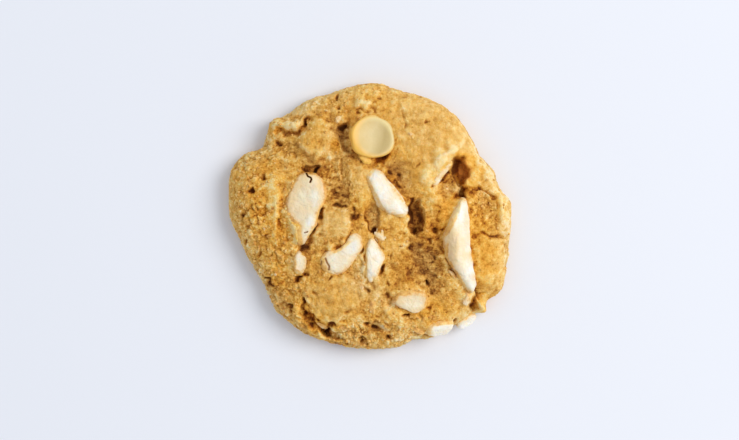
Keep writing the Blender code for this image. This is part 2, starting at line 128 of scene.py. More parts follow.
# The cookie's edge seen from above: angle in degrees from +X, radius
OUTLINE = (
    (0, 33.9), (6, 33.8), (12, 31.9), (20, 31.6), (30, 30.2), (36, 30.6), (50, 31.8), (65, 31.5),
    (80, 31.3), (88, 32.2), (95, 31.9), (105, 31.1), (120, 31.7), (130, 31.6), (136, 33), (141, 31.6),
    (148, 31), (153, 33.3), (160, 34.9), (170, 34.5), (180, 33.5), (190, 31.6), (200, 30.6), (212, 30.1),
    (225, 31.6), (240, 31.9), (255, 31.5), (270, 31.7), (280, 31.8), (290, 31.2), (298, 32.4), (305, 32.6),
    (312, 33.4), (318, 34.2), (320.5, 35.8), (323, 34.6), (330, 35.9), (340, 34.8), (350, 33.9),
)


def rows(kind, *table):
    """Each row of a table, as a thing of this kind."""
    return [kind(*row) for row in table]


# A rise or a hollow: its middle, half length, half width, the turn of its length from +X in degrees, its
# height and how steep its sides are (2 is a soft hill, 6 a plateau)
Form = namedtuple("Form", "x y length width turn height steepness", defaults=(3,))
# A hollow with edges: its depth, how far its wall slopes in and its corners
Hollow = namedtuple("Hollow", "depth wall corners")
# A crevice: its half width, its depth and the points that it runs through
Crevice = namedtuple("Crevice", "width depth points")
# A small dark hole: its middle and its radius
Spot = namedtuple("Spot", "x y radius")
# A scrap of nut or a grain of sugar: its middle, half length, half width and turn
Scrap = namedtuple("Scrap", "x y length width turn")

MOUNDS = rows(
    Form,
    (14, 17.5, 13, 8.5, -40, 1.3),           # smooth swell, upper right
    (17.6, 14.6, 5.4, 2.4, 52, 0.7),         # lip over the open cavity
    (-2.2, 8, 6.5, 3, 100, 1.1),             # lobe beside the middle nut
    (14.4, 5.6, 5, 1.8, 115, 1),             # ridge between the pit and the cavity
    (-8.5, -19.2, 7.4, 5.5, 10, 1.4, 5),     # low plateau, lower left
    (-8.6, -2.6, 5, 4, 40, 1, 5),            # plateau between the left nuts
    (28.8, -11.2, 6.6, 4.4, 95, 1.3, 5),     # lump at the right edge
    (27.4, 11.6, 7, 2.2, 122, 1.5, 2),       # rim above the right ledge
    (32, 1.5, 4.8, 1.3, 95, 1.1, 2),         # rim beside the right ledge
    (-12.4, 18.8, 4.6, 3.9, 80, 1.4, 6),     # flap, upper left
    (-19.3, 21.9, 3.4, 1.1, 5, 1.5),         # ridge of crumb beyond the flap
    (-22.8, 22.2, 1.5, 1.4, 90, 1.2),        # crumb at the end of that ridge
    (-22.4, 3, 7.5, 1.6, 93, 1.2, 2),        # ridge left of the large nut
    (-28, 5, 8.5, 3.8, 90, 0.8),             # left shoulder
    (-1.2, 26.9, 2.4, 1.3, 0, 1),            # crumb beyond the chip
    (6.5, -24.4, 3.4, 1.7, -40, 0.9, 4),     # lobe below the covered nut
    (27.1, -20.7, 2.2, 1.2, 80, 1.2),        # nib of crumb, lower right
)

PITS = rows(
    Form,
    (13.6, -11, 6.8, 4.2, 110, -1.5),        # broad sag left of the long nut
    (16.3, -3.5, 3.8, 1.4, 95, -1, 2),       # its upper end
    (7.4, 9.4, 4.6, 1.6, 118, -0.8, 2),      # sag right of the middle nut
    (-9.9, 12, 2.4, 1.8, 30, -1, 2),         # hollow beyond the large nut
    (-19.6, 16.6, 3.2, 2, 20, -0.9),         # hollow left of the flap
)

HOLLOWS = rows(
    Hollow,
    # Open cavity, its crumb floor
    (1.5, 2.2, ((14.6, 8), (16.4, 9.6), (18.2, 11.4), (19.4, 13.7), (21.4, 15), (22.8, 14.4), (24.4, 11.8),
        (24.4, 8.4), (22.6, 6.4), (20.6, 4.8), (17.4, 4.2), (14.8, 5.4))),
    # Open cavity, its deep side
    (2.8, 1.1, ((18.6, 13.2), (19.8, 14.4), (21.8, 14.6), (23.2, 13.4), (24.2, 10.8), (23.4, 7.6),
        (21.4, 7.2), (19.4, 9), (18.4, 11.2))),
    # Hole at the tip of the long nut
    (3.2, 0.8, ((19.2, 3.8), (20, 5.6), (20.9, 7.2), (22, 8), (24.2, 7.5), (23.3, 6), (23, 4))),
    # Ledge below the right rim
    (0.9, 1.8, ((23.4, 7.2), (26.9, 6.9), (28.8, 5.8), (30, 4.2), (30.3, 2), (29, -0.6), (26.4, -1.4),
        (24.2, 0.6))),
    # Long dark pit
    (2.6, 1.5, ((9.4, 3.8), (11.2, 4.7), (12.6, 3), (13.3, 0.2), (13, -2.4), (12.3, -4.7), (10.9, -5.2),
        (9.6, -4), (8.8, 1.2))),
    # Pocket above the sliver
    (0.8, 0.7, ((-1.2, 1.8), (0.2, 3.5), (1.9, 2.9), (2.8, 1), (2.8, -1.4), (1.9, -3.4), (0.3, -4.1),
        (-0.7, -2.6))),
    # Hole at the head of the large nut
    (1.8, 0.7, ((-16.8, 11.4), (-15.6, 13), (-14.3, 12.5), (-12.6, 13.3), (-11.2, 11.8), (-12.4, 10.4),
        (-15.4, 10.2))),
    # Gap left of the chip
    (1.2, 1.2, ((-8.3, 21.4), (-7, 22.5), (-5, 22.7), (-4.4, 21.4), (-4.6, 17), (-3, 14.6), (-1.4, 13.4),
        (-3.6, 13), (-6.2, 15.2), (-8.5, 17.4), (-7.9, 19.6))),
    # Gap below the chip
    (1.4, 0.8, ((0.4, 13), (2.2, 14.3), (3.8, 15.5), (5.1, 15), (4.4, 13.6), (2.8, 12.5))),
    # Sunken edge along the low plateau
    (1.6, 1.4, ((-16.2, -18.4), (-14.4, -21.6), (-13.2, -24), (-11.4, -25.6), (-9.4, -26.2), (-6.4, -27),
        (-6, -29.6), (-9, -29.8), (-12, -28.4), (-15, -26), (-17.2, -22.6))),
    # Dark hole at the low end of that edge
    (2.2, 0.9, ((-12, -26.2), (-10.4, -25.8), (-8.8, -26.6), (-8.6, -28.4), (-10.2, -29), (-11.8, -27.8))),
    # Hollow behind the nib
    (1.8, 0.9, ((23.5, -19.4), (24.9, -18.6), (25.6, -20), (26.1, -21.6), (25, -22.5), (23.5, -22.1))),
    # Crags along the bottom edge
    (1.3, 1, ((-0.6, -25), (1.4, -24.3), (3.4, -25.3), (6, -26), (4.6, -28), (2.2, -27.6), (0.4, -28.2))),
    (1.3, 0.9, ((2.4, -28.8), (4.6, -27.9), (5.9, -28.6), (5.4, -30.2), (3.4, -30.2))),
    (1.2, 0.9, ((-2.8, -29), (-1, -28.4), (0.2, -29.4), (-0.6, -30.6), (-2.6, -30.4))),
)

CREVICES = rows(
    Crevice,
    (0.8, 1.4, ((-21.8, 20.8), (-20, 19.7), (-17, 20), (-15.8, 21.8), (-15.4, 23))),
    (0.7, 0.6, ((24.6, -4.6), (26.4, -4), (28.4, -4.4), (31.2, -4.3))),
    (0.8, 1, ((-17.4, -7.6), (-16, -7.4), (-14.2, -5.4), (-12.4, -1.2))),
    (0.7, 1.2, ((3.6, -18), (4.2, -19.2), (5.2, -20.2))),
)

# Rises, hollows and cracks too small for the solid
RISES = rows(
    Form,
    # Crest of the lip
    (15.4, 12, 4.6, 1, 52, 0.7), (19.6, 15.4, 2.6, 1, 30, 0.4),
    # Right side of the long pit
    (13, -0.6, 3.4, 0.6, 97, 0.3, 2),
    # Ridge beside the sliver
    (-1.5, -10.4, 2.8, 0.6, 95, 0.7),
    # Crumbs along the low rim
    (-16.8, -24.6, 1, 0.7, 20, 0.6), (-14, -27, 1.2, 0.7, 140, 0.6), (-11.2, -28.9, 1.1, 0.6, 160, 0.5),
    (-17.9, -21.4, 0.9, 0.7, 100, 0.5), (-17.2, -22.6, 1.8, 0.7, 115, 0.8, 2),
    # Crag at the bottom edge
    (3.6, -26.4, 1.7, 0.8, -15, 1),
)

SMALL_HOLLOWS = rows(
    Hollow,
    (1.6, 0.7, ((9.1, 4.6), (10.4, 4.8), (11, -1), (11.2, -3.6), (10.6, -4.8), (9.3, -3.8), (8.9, -1))),
    (1, 0.6, ((-15.4, -21.4), (-14.4, -21.8), (-13.4, -23.4), (-12.8, -24.9), (-14, -24.9), (-15, -23.4))),
    (1, 0.6, ((-10.2, -25), (-8.4, -24.8), (-7.8, -26), (-9, -26.6), (-10.4, -26.2))),
    (0.9, 0.5, ((0.1, -2.4), (1.4, -2.2), (1.8, -3.4), (1.2, -4.4), (0.4, -4.2))),
    (1.2, 0.6, ((7.6, -23.5), (8.4, -22.3), (9.6, -22.8), (9.4, -24.2), (8.4, -24.2))),
    (0.3, 1.4, ((-10, 7.8), (-8.4, 6.8), (-5.6, 5.6), (-4, 3.2), (-5, 2), (-8.4, 2.6), (-9.6, 4.6))),
    (1.2, 0.8, ((-18.4, -13.6), (-16.4, -13.8), (-15.2, -12.8), (-15.6, -14.8), (-18, -15.8))),
    (0.5, 0.8, ((-1.2, 25.6), (0.4, 25.8), (1.2, 27.2), (0.6, 24.8), (-4.2, 24.8), (-3.6, 25.8))),
    (0.5, 0.9, ((13.6, -6.6), (16, -7.2), (18, -7.4), (17.6, -8.6), (15.2, -8.4), (13.2, -8))),
    (0.5, 0.9, ((15.2, -0.2), (16.8, 0.2), (17.4, 2.6), (16.4, 3.8), (15.6, 2))),
    (0.5, 0.8, ((14, -2.8), (15.4, -2.2), (17.8, -2.6), (17.4, -3.8), (15, -4.2))),
    (0.45, 0.9, ((-29.6, 6.6), (-28.2, 7.2), (-27, 6.4), (-28.4, 5.4), (-30.2, 5.8))),
    (0.55, 0.8, ((-26.2, 9.8), (-24.4, 9.9), (-24, 8.6), (-25.8, 8.4))),
)

CRACKS = rows(
    Crevice,
    (0.4, 0.8, ((-21.8, -0.4), (-21.6, -2), (-21, -3.4))), (0.3, 0.5, ((-19.7, -3.8), (-19.5, -5.6))),
    (0.32, 1.3, ((-11.6, 2.2), (-12.2, 0.2), (-12.8, -2))),
    (0.4, 0.6, ((-13, -3), (-13.9, -5.6), (-15, -7.4))),
    (0.3, 1.4, ((15, 7.5), (16.4, 8.2), (17.6, 9.4), (18.6, 10.8))),
    (0.35, 1.2, ((-15.8, -19.6), (-14.4, -22), (-13, -24.2), (-11.4, -25.8))),
    (0.3, 0.5, ((-10.6, -7.9), (-7.4, -7.2), (-5.4, -5), (-4.3, -3.2))),
    (0.35, 1.2, ((-3.7, 2), (-3.6, 0.6), (-4.5, -0.4))), (0.35, 1, ((-8.6, 2.8), (-7, 2.5), (-5.6, 2.5))),
    (0.26, 1.1, ((-1.1, 1.4), (-1, -0.8), (-0.2, -3.2), (1.2, -5), (3, -7.4))),
    (0.25, 0.8, ((5.4, 8.2), (6.6, 7.3), (7.6, 6.1), (8.7, 4.6))),
    (0.32, 1.2, ((-1.9, -6.8), (-2.2, -8.6))), (0.35, 1.4, ((3.2, -11.4), (2.9, -12.8), (2.2, -13.9))),
    (0.3, 1.5, ((-1.2, -16.9), (-0.3, -17.7))), (0.2, 0.4, ((7.6, 25.2), (8, 23.4), (8.2, 21))),
    (0.4, 0.4, ((1.2, 27.4), (0.6, 26), (1.2, 24.8))), (0.3, 1, ((29.6, 4.6), (30.3, 3.2), (30.4, 2))),
    (0.34, 1, ((24, 7), (26, 6.8), (28.4, 5.8), (29.7, 4.6))),
    (0.32, 1.4, ((24.9, -17), (25.4, -18.4), (25.8, -19.2))), (0.25, 0.9, ((26.2, -18.2), (27.6, -18.1))),
    (0.32, 1.5, ((20.5, -24.6), (20.3, -25.8), (20, -26.8))),
    (0.38, 1.3, ((18.2, -7.6), (18.6, -9.6), (19.2, -11.8), (20.4, -14))),
    (0.3, 0.8, ((13.5, -15.4), (14.2, -17), (14.6, -18.2))), (0.3, 0.8, ((-18.2, 15.4), (-17.6, 14.2))),
    (0.28, 0.7, ((-6.8, 13.6), (-6.6, 12), (-6.9, 10.2))), (0.3, 1, ((-7.6, -29.2), (-5.8, -29.8))),
    (0.25, 0.7, ((8.6, -24.6), (10.6, -24.6), (12.4, -23.9))),
    (0.3, 0.9, ((11.2, -27.6), (12.8, -28.1), (14.6, -28.8))),
    (0.3, 0.9, ((-25.2, -14.6), (-24.2, -15.8), (-23.2, -16.6))),
    (0.3, 0.9, ((-20.2, -20.4), (-19, -21.4), (-17.6, -20.8))), (0.3, 0.8, ((-4.6, -22), (-5.6, -22.6))),
)

SPOTS = rows(
    Spot,
    (24, 1.5, 0.55), (-15.5, -13.7, 0.45), (-17.6, -15.3, 0.35), (-16.4, -14.9, 0.35), (-9.5, -14.6, 0.4),
    (4.3, -9.1, 0.32), (4.9, -9.9, 0.28), (4.3, -16, 0.3), (13.6, -15.6, 0.35), (15.3, -9.6, 0.5),
    (-10.4, -8.4, 0.3), (-28.6, 6.2, 0.4), (-25.4, 9.1, 0.55), (-30.6, 0.3, 0.5), (-29.2, -2.6, 0.45),
    (-26.7, 2, 0.32), (-24.6, -4.6, 0.4), (-26.4, -8.9, 0.5), (-19.2, -21, 0.5), (-12.7, 11.2, 0.4),
    (-19, -23.6, 0.45), (-14, -25.8, 0.45), (-8, 28.4, 0.5), (-7.4, 25.8, 0.45), (-3, 24.9, 0.5),
    (11.2, 12.1, 0.3), (13.3, 22.6, 0.5), (2.2, 28.3, 0.35), (-13.4, -18, 0.45), (9.4, -7, 0.55),
    (14.2, -5.6, 0.45), (15.5, -3.2, 0.5), (17.2, -3, 0.4), (-8, 5.8, 0.3), (-6.4, 2.5, 0.25),
    (-9.8, 7.6, 0.32), (-21.8, 17.4, 0.5), (16, -0.9, 0.35), (14.2, -21.8, 0.4), (24.4, -21.4, 0.45),
    (0.7, -3.5, 0.6), (-15.8, 11.3, 0.45), (-13, 11, 0.45), (-6.8, 21.3, 0.7), (-5.2, 18.8, 0.5),
    (-7.7, 17.3, 0.5), (-4.1, 15.8, 0.45), (-2, 13.3, 0.4), (6.9, 10, 0.4), (4.5, 10.5, 0.4),
    (-10.2, -27.2, 0.6), (-9.8, -28.8, 0.35), (-15.2, -23, 0.6), (1.2, -26.2, 0.5), (4.4, -28.8, 0.5),
    (-1.2, -29.3, 0.45), (2, -23.8, 0.35), (-0.8, -25.4, 0.6), (-1.8, -29.6, 0.5), (4.9, -9.2, 0.5),
    (-3.4, 0.1, 0.4), (-27.8, 6.4, 0.6), (-29.8, -5.8, 0.5), (-4, -29, 0.35), (-18, 22.9, 0.35),
    (-15.3, 22.2, 0.5), (8.2, -23.5, 0.5),
)

# Where the crust is crumbly (above 0) or smooth (below 0), added to its usual coarseness
COARSE = rows(
    Form,
    (-26, 0, 24, 8, 95, 0.45), (0, -28.5, 16, 4, 0, 0.5), (-18, -22, 8, 4, 130, 0.3),
    (-7, 8, 6, 4, 110, 0.3), (13.6, -10, 8, 5, 100, 0.25), (27, 2, 5, 3, 100, 0.3),
    (18, 8.6, 3.4, 2.4, 20, 0.4), (14, 17, 15, 11, -40, -0.3, 4), (17, 14.4, 7, 3, 50, -0.6),
    (-8.5, -19, 7.5, 5, 10, -0.25, 4), (-8.8, -1, 4.6, 3.4, 40, -0.25, 4),
    (28.8, -11, 6.6, 4, 95, -0.15, 4), (-2.2, 8, 6, 2.8, 100, -0.25), (-22.4, 3, 7, 1.5, 93, -0.5),
    (-12.6, 18.6, 4.6, 3.8, 80, -0.15, 5),
)

# Where the crust is paler (above 0) or browner (below 0)
# Many rows are painted light and shade: paler on the lip and rims facing the light, browner around holes,
# cracks and gaps
TINTS_LIGHT_AND_SHADE = rows(
    Form,
    (17.6, 13.2, 6, 2.6, 50, 0.34, 2), (21, 15.8, 3, 1.6, -30, 0.3, 2), (12, 21, 8, 5, -30, 0.1),
    (0, 29.5, 5, 2, 0, 0.1), (-2.6, 8, 4, 2.4, 100, 0.08), (27.6, -7, 9, 4, 96, -0.17),
    (-26, -17, 5, 1.6, 120, 0.2), (-8.5, -19, 6.6, 4.8, 10, -0.12, 4), (-12.6, 18.6, 4.4, 3.6, 80, -0.1, 4),
    (8, -12, 4, 4, 0, -0.1), (19, -20, 5, 2.4, -30, -0.14), (14.2, 8, 2.6, 1.6, 100, 0.2, 2),
    (33, -5, 11, 1.4, 92, 0.18), (29.5, 11, 8, 2.2, 120, 0.22), (-22.8, 4, 5.5, 1.9, 93, 0.3),
    (-16, 27, 10, 2.4, 28, 0.22), (-1.2, 27.2, 2, 1, 0, 0.25), (-10.5, 14.8, 1.8, 1.2, 0, 0.35),
    (7, -27.4, 8, 2, 15, 0.25), (-2.2, -12.4, 4.4, 1.3, 97, 0.55, 2), (0.8, -21.5, 2.4, 1, 95, 0.25),
    (-4, -25.6, 4, 1.2, 0, 0.3), (21, -17.6, 5.4, 0.9, 116, 0.35), (23.2, -18.4, 1.7, 1.2, 100, 0.6, 2),
    (24, -23, 3, 1.2, 20, 0.25), (9.4, 19.6, 1.6, 0.8, 0, 0.25), (8, -7.6, 1.2, 0.8, 0, 0.3),
    (-18.7, -11.6, 2.4, 0.9, 90, 0.3), (13.4, -10.6, 7.6, 4.6, 108, -0.24, 4), (9.5, -12, 4, 3.2, 0, -0.14),
    (-15, 11.4, 3, 1.4, 0, -0.16), (-11.6, 10.6, 2.4, 1.2, -20, -0.65), (-12.9, 13.4, 1.4, 0.9, 0, -0.3),
    (-9.4, 4.2, 1.2, 0.9, 90, -0.4), (-26.2, 3.6, 1.4, 0.9, 90, -0.4), (-31.6, 1.4, 1.2, 0.8, 90, -0.4),
    (-23, -15.8, 1.6, 1, 160, -0.4), (-16.8, -15, 1.4, 0.9, 60, -0.4), (-9.6, 27.6, 2.4, 1, 15, -0.35),
    (-5.2, 22.6, 1.2, 0.8, 30, -0.4), (8.4, -14.6, 1.6, 1.2, 90, -0.35), (9.2, -9.6, 1.6, 1, 60, -0.3),
    (13.2, -0.8, 1.4, 0.8, 90, -0.45), (-8, -5.2, 1.8, 0.6, 0, -0.4), (26.8, 13.6, 2.2, 1, 110, -0.2),
    (25.6, -16, 1.6, 0.9, 90, -0.35), (24.6, -21.6, 1.1, 0.8, 0, 0.5), (20.4, -20, 1.4, 1, 90, 0.35),
    (3, -14.6, 1.4, 1, 90, 0.4), (6.8, -8, 1.2, 0.9, 0, 0.4), (8.2, 25.6, 2.2, 1.2, 20, 0.25),
    (-10, 25.2, 1.4, 1, 0, 0.35), (-7, 29.4, 1.6, 0.9, 10, 0.35), (-18.8, 10.2, 1.4, 1, 0, 0.3),
    (-24.8, -2.6, 1.4, 1, 0, 0.35), (-18.4, -12.8, 1.6, 0.9, 90, 0.3), (-14, -24, 1, 0.8, 0, 0.5),
    (-19.6, -20.8, 1.3, 0.8, 0, 0.45), (-6, -23.8, 2, 1.2, 20, 0.25), (-8.8, 13.2, 1.7, 1.2, 60, 0.35),
    (21.6, 12.8, 2.2, 1.6, 90, -0.22), (21.5, 7.2, 2.4, 0.9, 110, 0.8), (17.3, 6.6, 1.3, 0.9, 0, 0.45),
    (19.6, 8.4, 1.4, 1.1, 40, -0.6), (23.6, 5.6, 1.2, 0.8, 90, -0.4), (16.3, -7.6, 1.5, 1, 0, -0.5),
    (4.8, 9, 1.3, 0.9, 60, -0.6), (9.2, 4.2, 1, 1, 0, -0.7), (-2.8, 13, 1.5, 0.7, 0, -0.5),
    (17.8, 0.6, 1.6, 1, 70, -0.4), (-13.4, 11.6, 1, 0.7, 0, 0.5), (-5.8, 7.8, 1.2, 0.9, 0, 0.5),
    (11.4, 3.8, 1.4, 0.7, 20, 0.5), (10.7, -2.2, 1.3, 0.8, 0, 0.5), (11.4, -7.6, 1.6, 1, 60, 0.35),
    (16, -3.6, 1.1, 0.8, 0, 0.5), (1, 0.6, 1.8, 1, 90, 0.4), (-14.4, -5.6, 1.6, 0.8, 70, 0.45),
    (-8.8, 17.6, 1.4, 0.9, 90, 0.4), (-17.3, 16.6, 1.6, 1, 0, 0.4), (5.4, -20.4, 1.2, 1, 0, 0.4),
    (1, -19.8, 1.6, 1, 90, 0.3), (-3.4, -24.4, 2.4, 1, 30, 0.35), (31, -4.2, 1.2, 0.8, 0, 0.4),
    (18.8, 9.8, 3, 1.1, 48, -0.6), (18.8, 6.6, 2.6, 0.9, -12, 0.6), (24.6, 6.3, 2.4, 0.9, -8, -0.6),
    (25, 9.3, 1.1, 1.5, 90, 0.35, 2), (24.8, -20.3, 1, 0.8, 0, -0.5), (-19.6, -2.4, 3.4, 0.9, 97, 0.6),
    (-20.2, 6, 6, 0.7, 92, 0.45), (-21.6, -2, 2.2, 0.8, 95, -0.55), (-27.8, 1.8, 2.8, 1.3, 100, -0.35),
    (-8, 6.4, 1.8, 1, 60, -0.55), (-3.4, 0, 1.3, 0.7, 95, -0.5), (9.5, 0.4, 4.4, 0.6, 92, -0.35),
    (2.7, -13, 1.8, 0.9, 110, -0.55), (2.6, -3.1, 1.8, 0.8, 0, -0.6), (26.8, -20.8, 2.2, 1.2, 80, -0.2),
    (-15.4, -9.2, 3.4, 1, 97, -0.7), (-18, -21.6, 1.5, 1, 0, -0.4), (-14, -26.7, 1.6, 0.9, 140, -0.4),
    (12.6, -7.8, 1.6, 1, 0, -0.4), (-18.6, 20.8, 3.2, 0.8, 8, 0.3), (-7.7, 16.8, 1.9, 0.9, 100, -0.65),
    (-5.9, 18.2, 2.6, 0.7, 90, 0.4), (-4.6, 23.2, 1.5, 1, 30, -0.4), (12.9, 22, 1.4, 1, 0, -0.3),
    (5.4, 17.4, 1.8, 0.9, 80, -0.35), (-7.4, -29.7, 2.6, 0.9, -10, -0.55),
    (-14.5, -26.6, 4, 0.9, 135, -0.2), (-14.4, -23.4, 4.4, 1.3, 119, -0.4), (-9, -25.6, 1.7, 1, 0, -0.65),
    (-17, -22, 1.9, 0.9, 115, 0.5), (-7.4, -27.9, 3.4, 0.9, -12, 0.45), (6.8, -29.4, 1.8, 0.9, 0, 0.4),
    (0.6, -29.5, 2.6, 0.8, 0, -0.3), (1.2, -24, 1.4, 0.9, 80, -0.35), (2.2, -18, 2, 1, 90, 0.25),
    (-24, -15.6, 1.8, 1.1, 120, -0.4), (8.6, -11.8, 3.2, 1.6, 0, -0.2), (19.4, 1.8, 3.4, 1.2, 65, 0.3),
    (14, -2.8, 3.2, 2, 55, -0.6), (16.4, 1.8, 2.6, 1.3, 90, -0.52), (6, 9.8, 4.2, 1.5, 122, -0.5),
    (9, 8.4, 1.4, 1.1, 0, 0.45), (11.6, -0.4, 1.4, 0.8, 97, -0.3), (-7, 6.4, 4.2, 3, 100, -0.32),
    (-19, -22, 9, 3, 130, -0.18), (-6.8, 18.6, 4.6, 1.8, 95, -0.2), (3.2, 14.7, 2.6, 1.2, 25, -0.6),
    (11, -0.3, 4.6, 1.7, 97, -0.08, 5), (0.8, -0.2, 3.2, 1.8, 95, -0.3, 4),
    (-15.4, -8.6, 2.4, 1, 100, -0.2), (3.4, -26.5, 1.8, 0.9, -15, 0.7), (-0.2, -26, 1.4, 0.9, 40, -0.6),
    (2.8, -28.6, 1.7, 0.8, -20, -0.55), (5, -20.6, 1.4, 1.6, 100, 0.6), (14.8, -21.4, 2.6, 1.8, 0, -0.2),
    (-28.8, 6, 3.2, 1.1, 5, -0.45), (28.4, -4.4, 3, 0.7, 0, -0.3), (27.2, 0.8, 2.4, 0.9, 95, 0.3),
)

# Where the crust is more orange (above 0) or duller (below 0)
# The rows of 1.5 and more paint warm shade deep in the open cavity and in the gaps beside the chip
HUES_AND_WARM_SHADE = rows(
    Form,
    (-22.6, 2.6, 8, 2, 93, 0.8), (-18.8, -3, 4, 2, 105, 0.6), (26.4, -21, 2.4, 2, 80, 1.2),
    (14, -22, 6, 3.4, -20, 0.35), (18.6, 1.4, 4.6, 1.8, 62, 0.9), (25.6, -7.4, 3.4, 1.6, 95, 0.5),
    (24.8, -1.8, 3, 1.4, 95, 0.4), (23.4, 12.4, 2.6, 1.2, 110, 0.6), (-22.6, 22, 1.8, 1.8, 0, 1.2),
    (31, 2.4, 3.4, 1.2, 100, 0.5), (20.6, 6.4, 2.6, 1.2, -10, -0.5), (-5.6, -25, 2.4, 1.2, 0, 0.5),
    (-1.6, 4, 6, 2.4, 100, 0.35), (-23, -13.5, 3, 3, 0, 0.3), (0.5, 30, 5, 1.6, 0, 0.3),
    (-8, -19, 7, 5, 10, -0.4, 4), (-8.6, -2.4, 5, 4, 40, -0.45, 4), (0.8, 0, 3.2, 1.8, 95, -0.6, 4),
    (13.8, -12, 6.6, 3.6, 110, -0.55), (7.4, 10, 5, 1.8, 118, -0.4), (-13, 18, 4.6, 4, 80, -0.2, 4),
    (-6.6, 17.4, 5.4, 1.8, 95, -0.4), (-7, 7, 4.4, 3.2, 100, -0.4), (-15.4, -8, 2.6, 1.2, 100, -0.3),
    (-14, 14, 3, 1.6, 0, -0.2), (5, -25.4, 15, 2.6, 3, -0.2), (-13, -25, 5, 2, 130, 0.6),
    (22, 10.8, 3.6, 2.4, 105, 1, 4), (21.7, 10.6, 3.9, 1.4, 102, 1.6), (3.3, 14.5, 1.9, 0.8, 28, 1.5),
    (-7.6, 16.7, 1.7, 0.8, 98, 1.5), (14, 19, 11, 6, -38, -0.33), (-8.6, 18.5, 6.5, 1.6, 93, -0.35),
    (33.4, -8, 8, 1.4, 96, -0.6), (29.5, 11, 8, 2.4, 120, -0.25), (-16, 27, 10, 2.4, 28, -0.1),
    (-31, 11, 6, 2.4, 65, 0.3), (-2.6, 8, 4, 2.4, 100, -0.5), (0, -17, 6, 3, 140, -0.45),
    (-26, -17, 6, 2, 120, -0.5), (25.8, -7, 9, 2.2, 95, 0.6), (-26, 0, 12, 3.4, 95, 0.2),
    (-22.4, 4, 5.5, 1.6, 93, 0.3), (-8.5, -19, 6.6, 4.8, 10, 0.2), (-2.4, -13, 4.6, 1.6, 97, -0.5),
)

# Dough that has run up over the nuts, along lines. Each depth is a share, 1 for all of it.
SMEARS = rows(
    Crevice,
    (1.7, 1, ((-20.4, -0.2), (-18.2, -2.4), (-18.1, -4.4), (-19, -6.8))),
    (0.9, 1, ((-20.2, 6.2), (-18.8, 9.2), (-17, 10.8))), (1.2, 1, ((17.6, -1.4), (18.8, 1.6), (20.4, 4.2))),
    (0.5, 1, ((5.2, -18.8), (7.2, -17.3), (10, -16.8), (12.6, -17.4))),
    (0.6, 1, ((-18.9, -9.4), (-18.9, -11.4), (-18.4, -13.4))),
    (0.5, 1, ((-1.6, -5.4), (-2, -10.8), (-1.7, -14.6))),
)

# Dust of crumb on the nuts and scraps, which dulls them
DUST = rows(
    Form,
    # Left nut
    (-18.9, 8, 3.4, 1, 66, 1.1), (-17.6, -3.4, 3.6, 1.2, 112, 1.3), (-10.2, 6, 3, 0.8, 98, 0.6),
    (-11.5, 1.2, 2.4, 0.6, 70, 0.8), (-13.9, -4.4, 2.2, 0.6, 58, 0.8), (-14.4, 10.8, 1.8, 0.6, -20, 0.8),
    # Middle nut
    (0.2, 10.8, 1.4, 0.8, 60, 0.6), (1.4, 5.2, 4.4, 0.5, 118, 0.5), (7.2, 0.1, 1.6, 0.5, 0, 0.7),
    # Bean
    (-10.9, -11.2, 2.8, 1.2, 105, 0.62), (-6.8, -7.2, 3.2, 0.5, 32, 0.8),
    # Sliver
    (-1.3, -10.8, 5.4, 0.5, 93, 0.7),
    # Long nut
    (19.2, 0.4, 4.8, 1.5, 68, 1.7), (18, -8.6, 3.4, 0.5, 80, 0.7), (20.4, -13.4, 4, 0.5, 122, 0.8),
    (24, -18.2, 1.6, 1, 110, 0.3), (22, -6.5, 3, 0.6, 95, 0.45),
    # Covered nut
    (8.6, -18, 4.6, 1.1, -8, 0.6), (5.8, -20.4, 1.3, 1.8, 0, 0.6), (13.6, -20.2, 1.8, 0.6, 70, 0.7),
    # Wedge
    (-18.4, -11, 2.8, 0.9, 92, 0.9),
    # Nuts at the edge
    (13.4, -27, 1.4, 1.6, 0, 0.7), (16.6, -25, 3.4, 0.8, 5, 1), (21.4, -24, 2.8, 0.8, 25, 0.9),
    # Wedge, its lower end
    (-17.2, -13.3, 1, 0.8, 0, 0.8),
    # Nut in the lip
    (19.9, 13.3, 0.9, 1.2, 0, 2), (15.6, 11, 4.4, 0.6, 52, 0.7),
    # Scraps
    (11.6, -27, 2, 1.2, -20, 0.5), (-8.5, -26, 6, 1.2, 0, 0.4), (0.7, -21.6, 2, 1, 80, 0.5),
)

NUT_CRACKS = rows(
    Crevice,
    # Left nut
    (0.19, 1, ((-15, 10.3), (-14.7, 9.6), (-14, 9.3), (-13.8, 8.9), (-14.1, 8.2))),
    (0.16, 0.7, ((-15.4, -3.7), (-14.7, -3.5))),
    # Bean
    (0.34, 0.42, ((-10.5, -9.8), (-10.1, -10.8), (-9.6, -11.6), (-9.7, -12.4))),
    (0.18, 0.45, ((-11.4, -10.4), (-11.7, -11.8), (-11, -13), (-9.8, -13.5))),
)

# Where the nuts are whiter (above 0) or creamier (below 0)
NUT_TINTS = rows(
    Form,
    # Left nut
    (-17.6, 7.4, 3.6, 1.6, 66, -0.5, 2), (-12.8, 4.6, 4, 1.2, 100, 0.35, 2),
    (-13.8, -1, 4, 1.4, 68, 0.5, 2),
    # Long nut
    (19.2, -5, 8, 1.8, 97, -1.1, 2), (22.6, -2.4, 4.4, 1, 95, -0.3, 2), (19.2, -0.4, 4.6, 1.8, 70, 0.9, 2),
    # Sliver and the scrap above it
    (-1.2, -10.4, 5, 0.8, 93, -0.5, 2), (2.7, -5, 2, 1.4, -58, 0.3, 2),
    # Bean
    (-10.6, -10.6, 3, 1.4, 100, -0.3, 2),
)

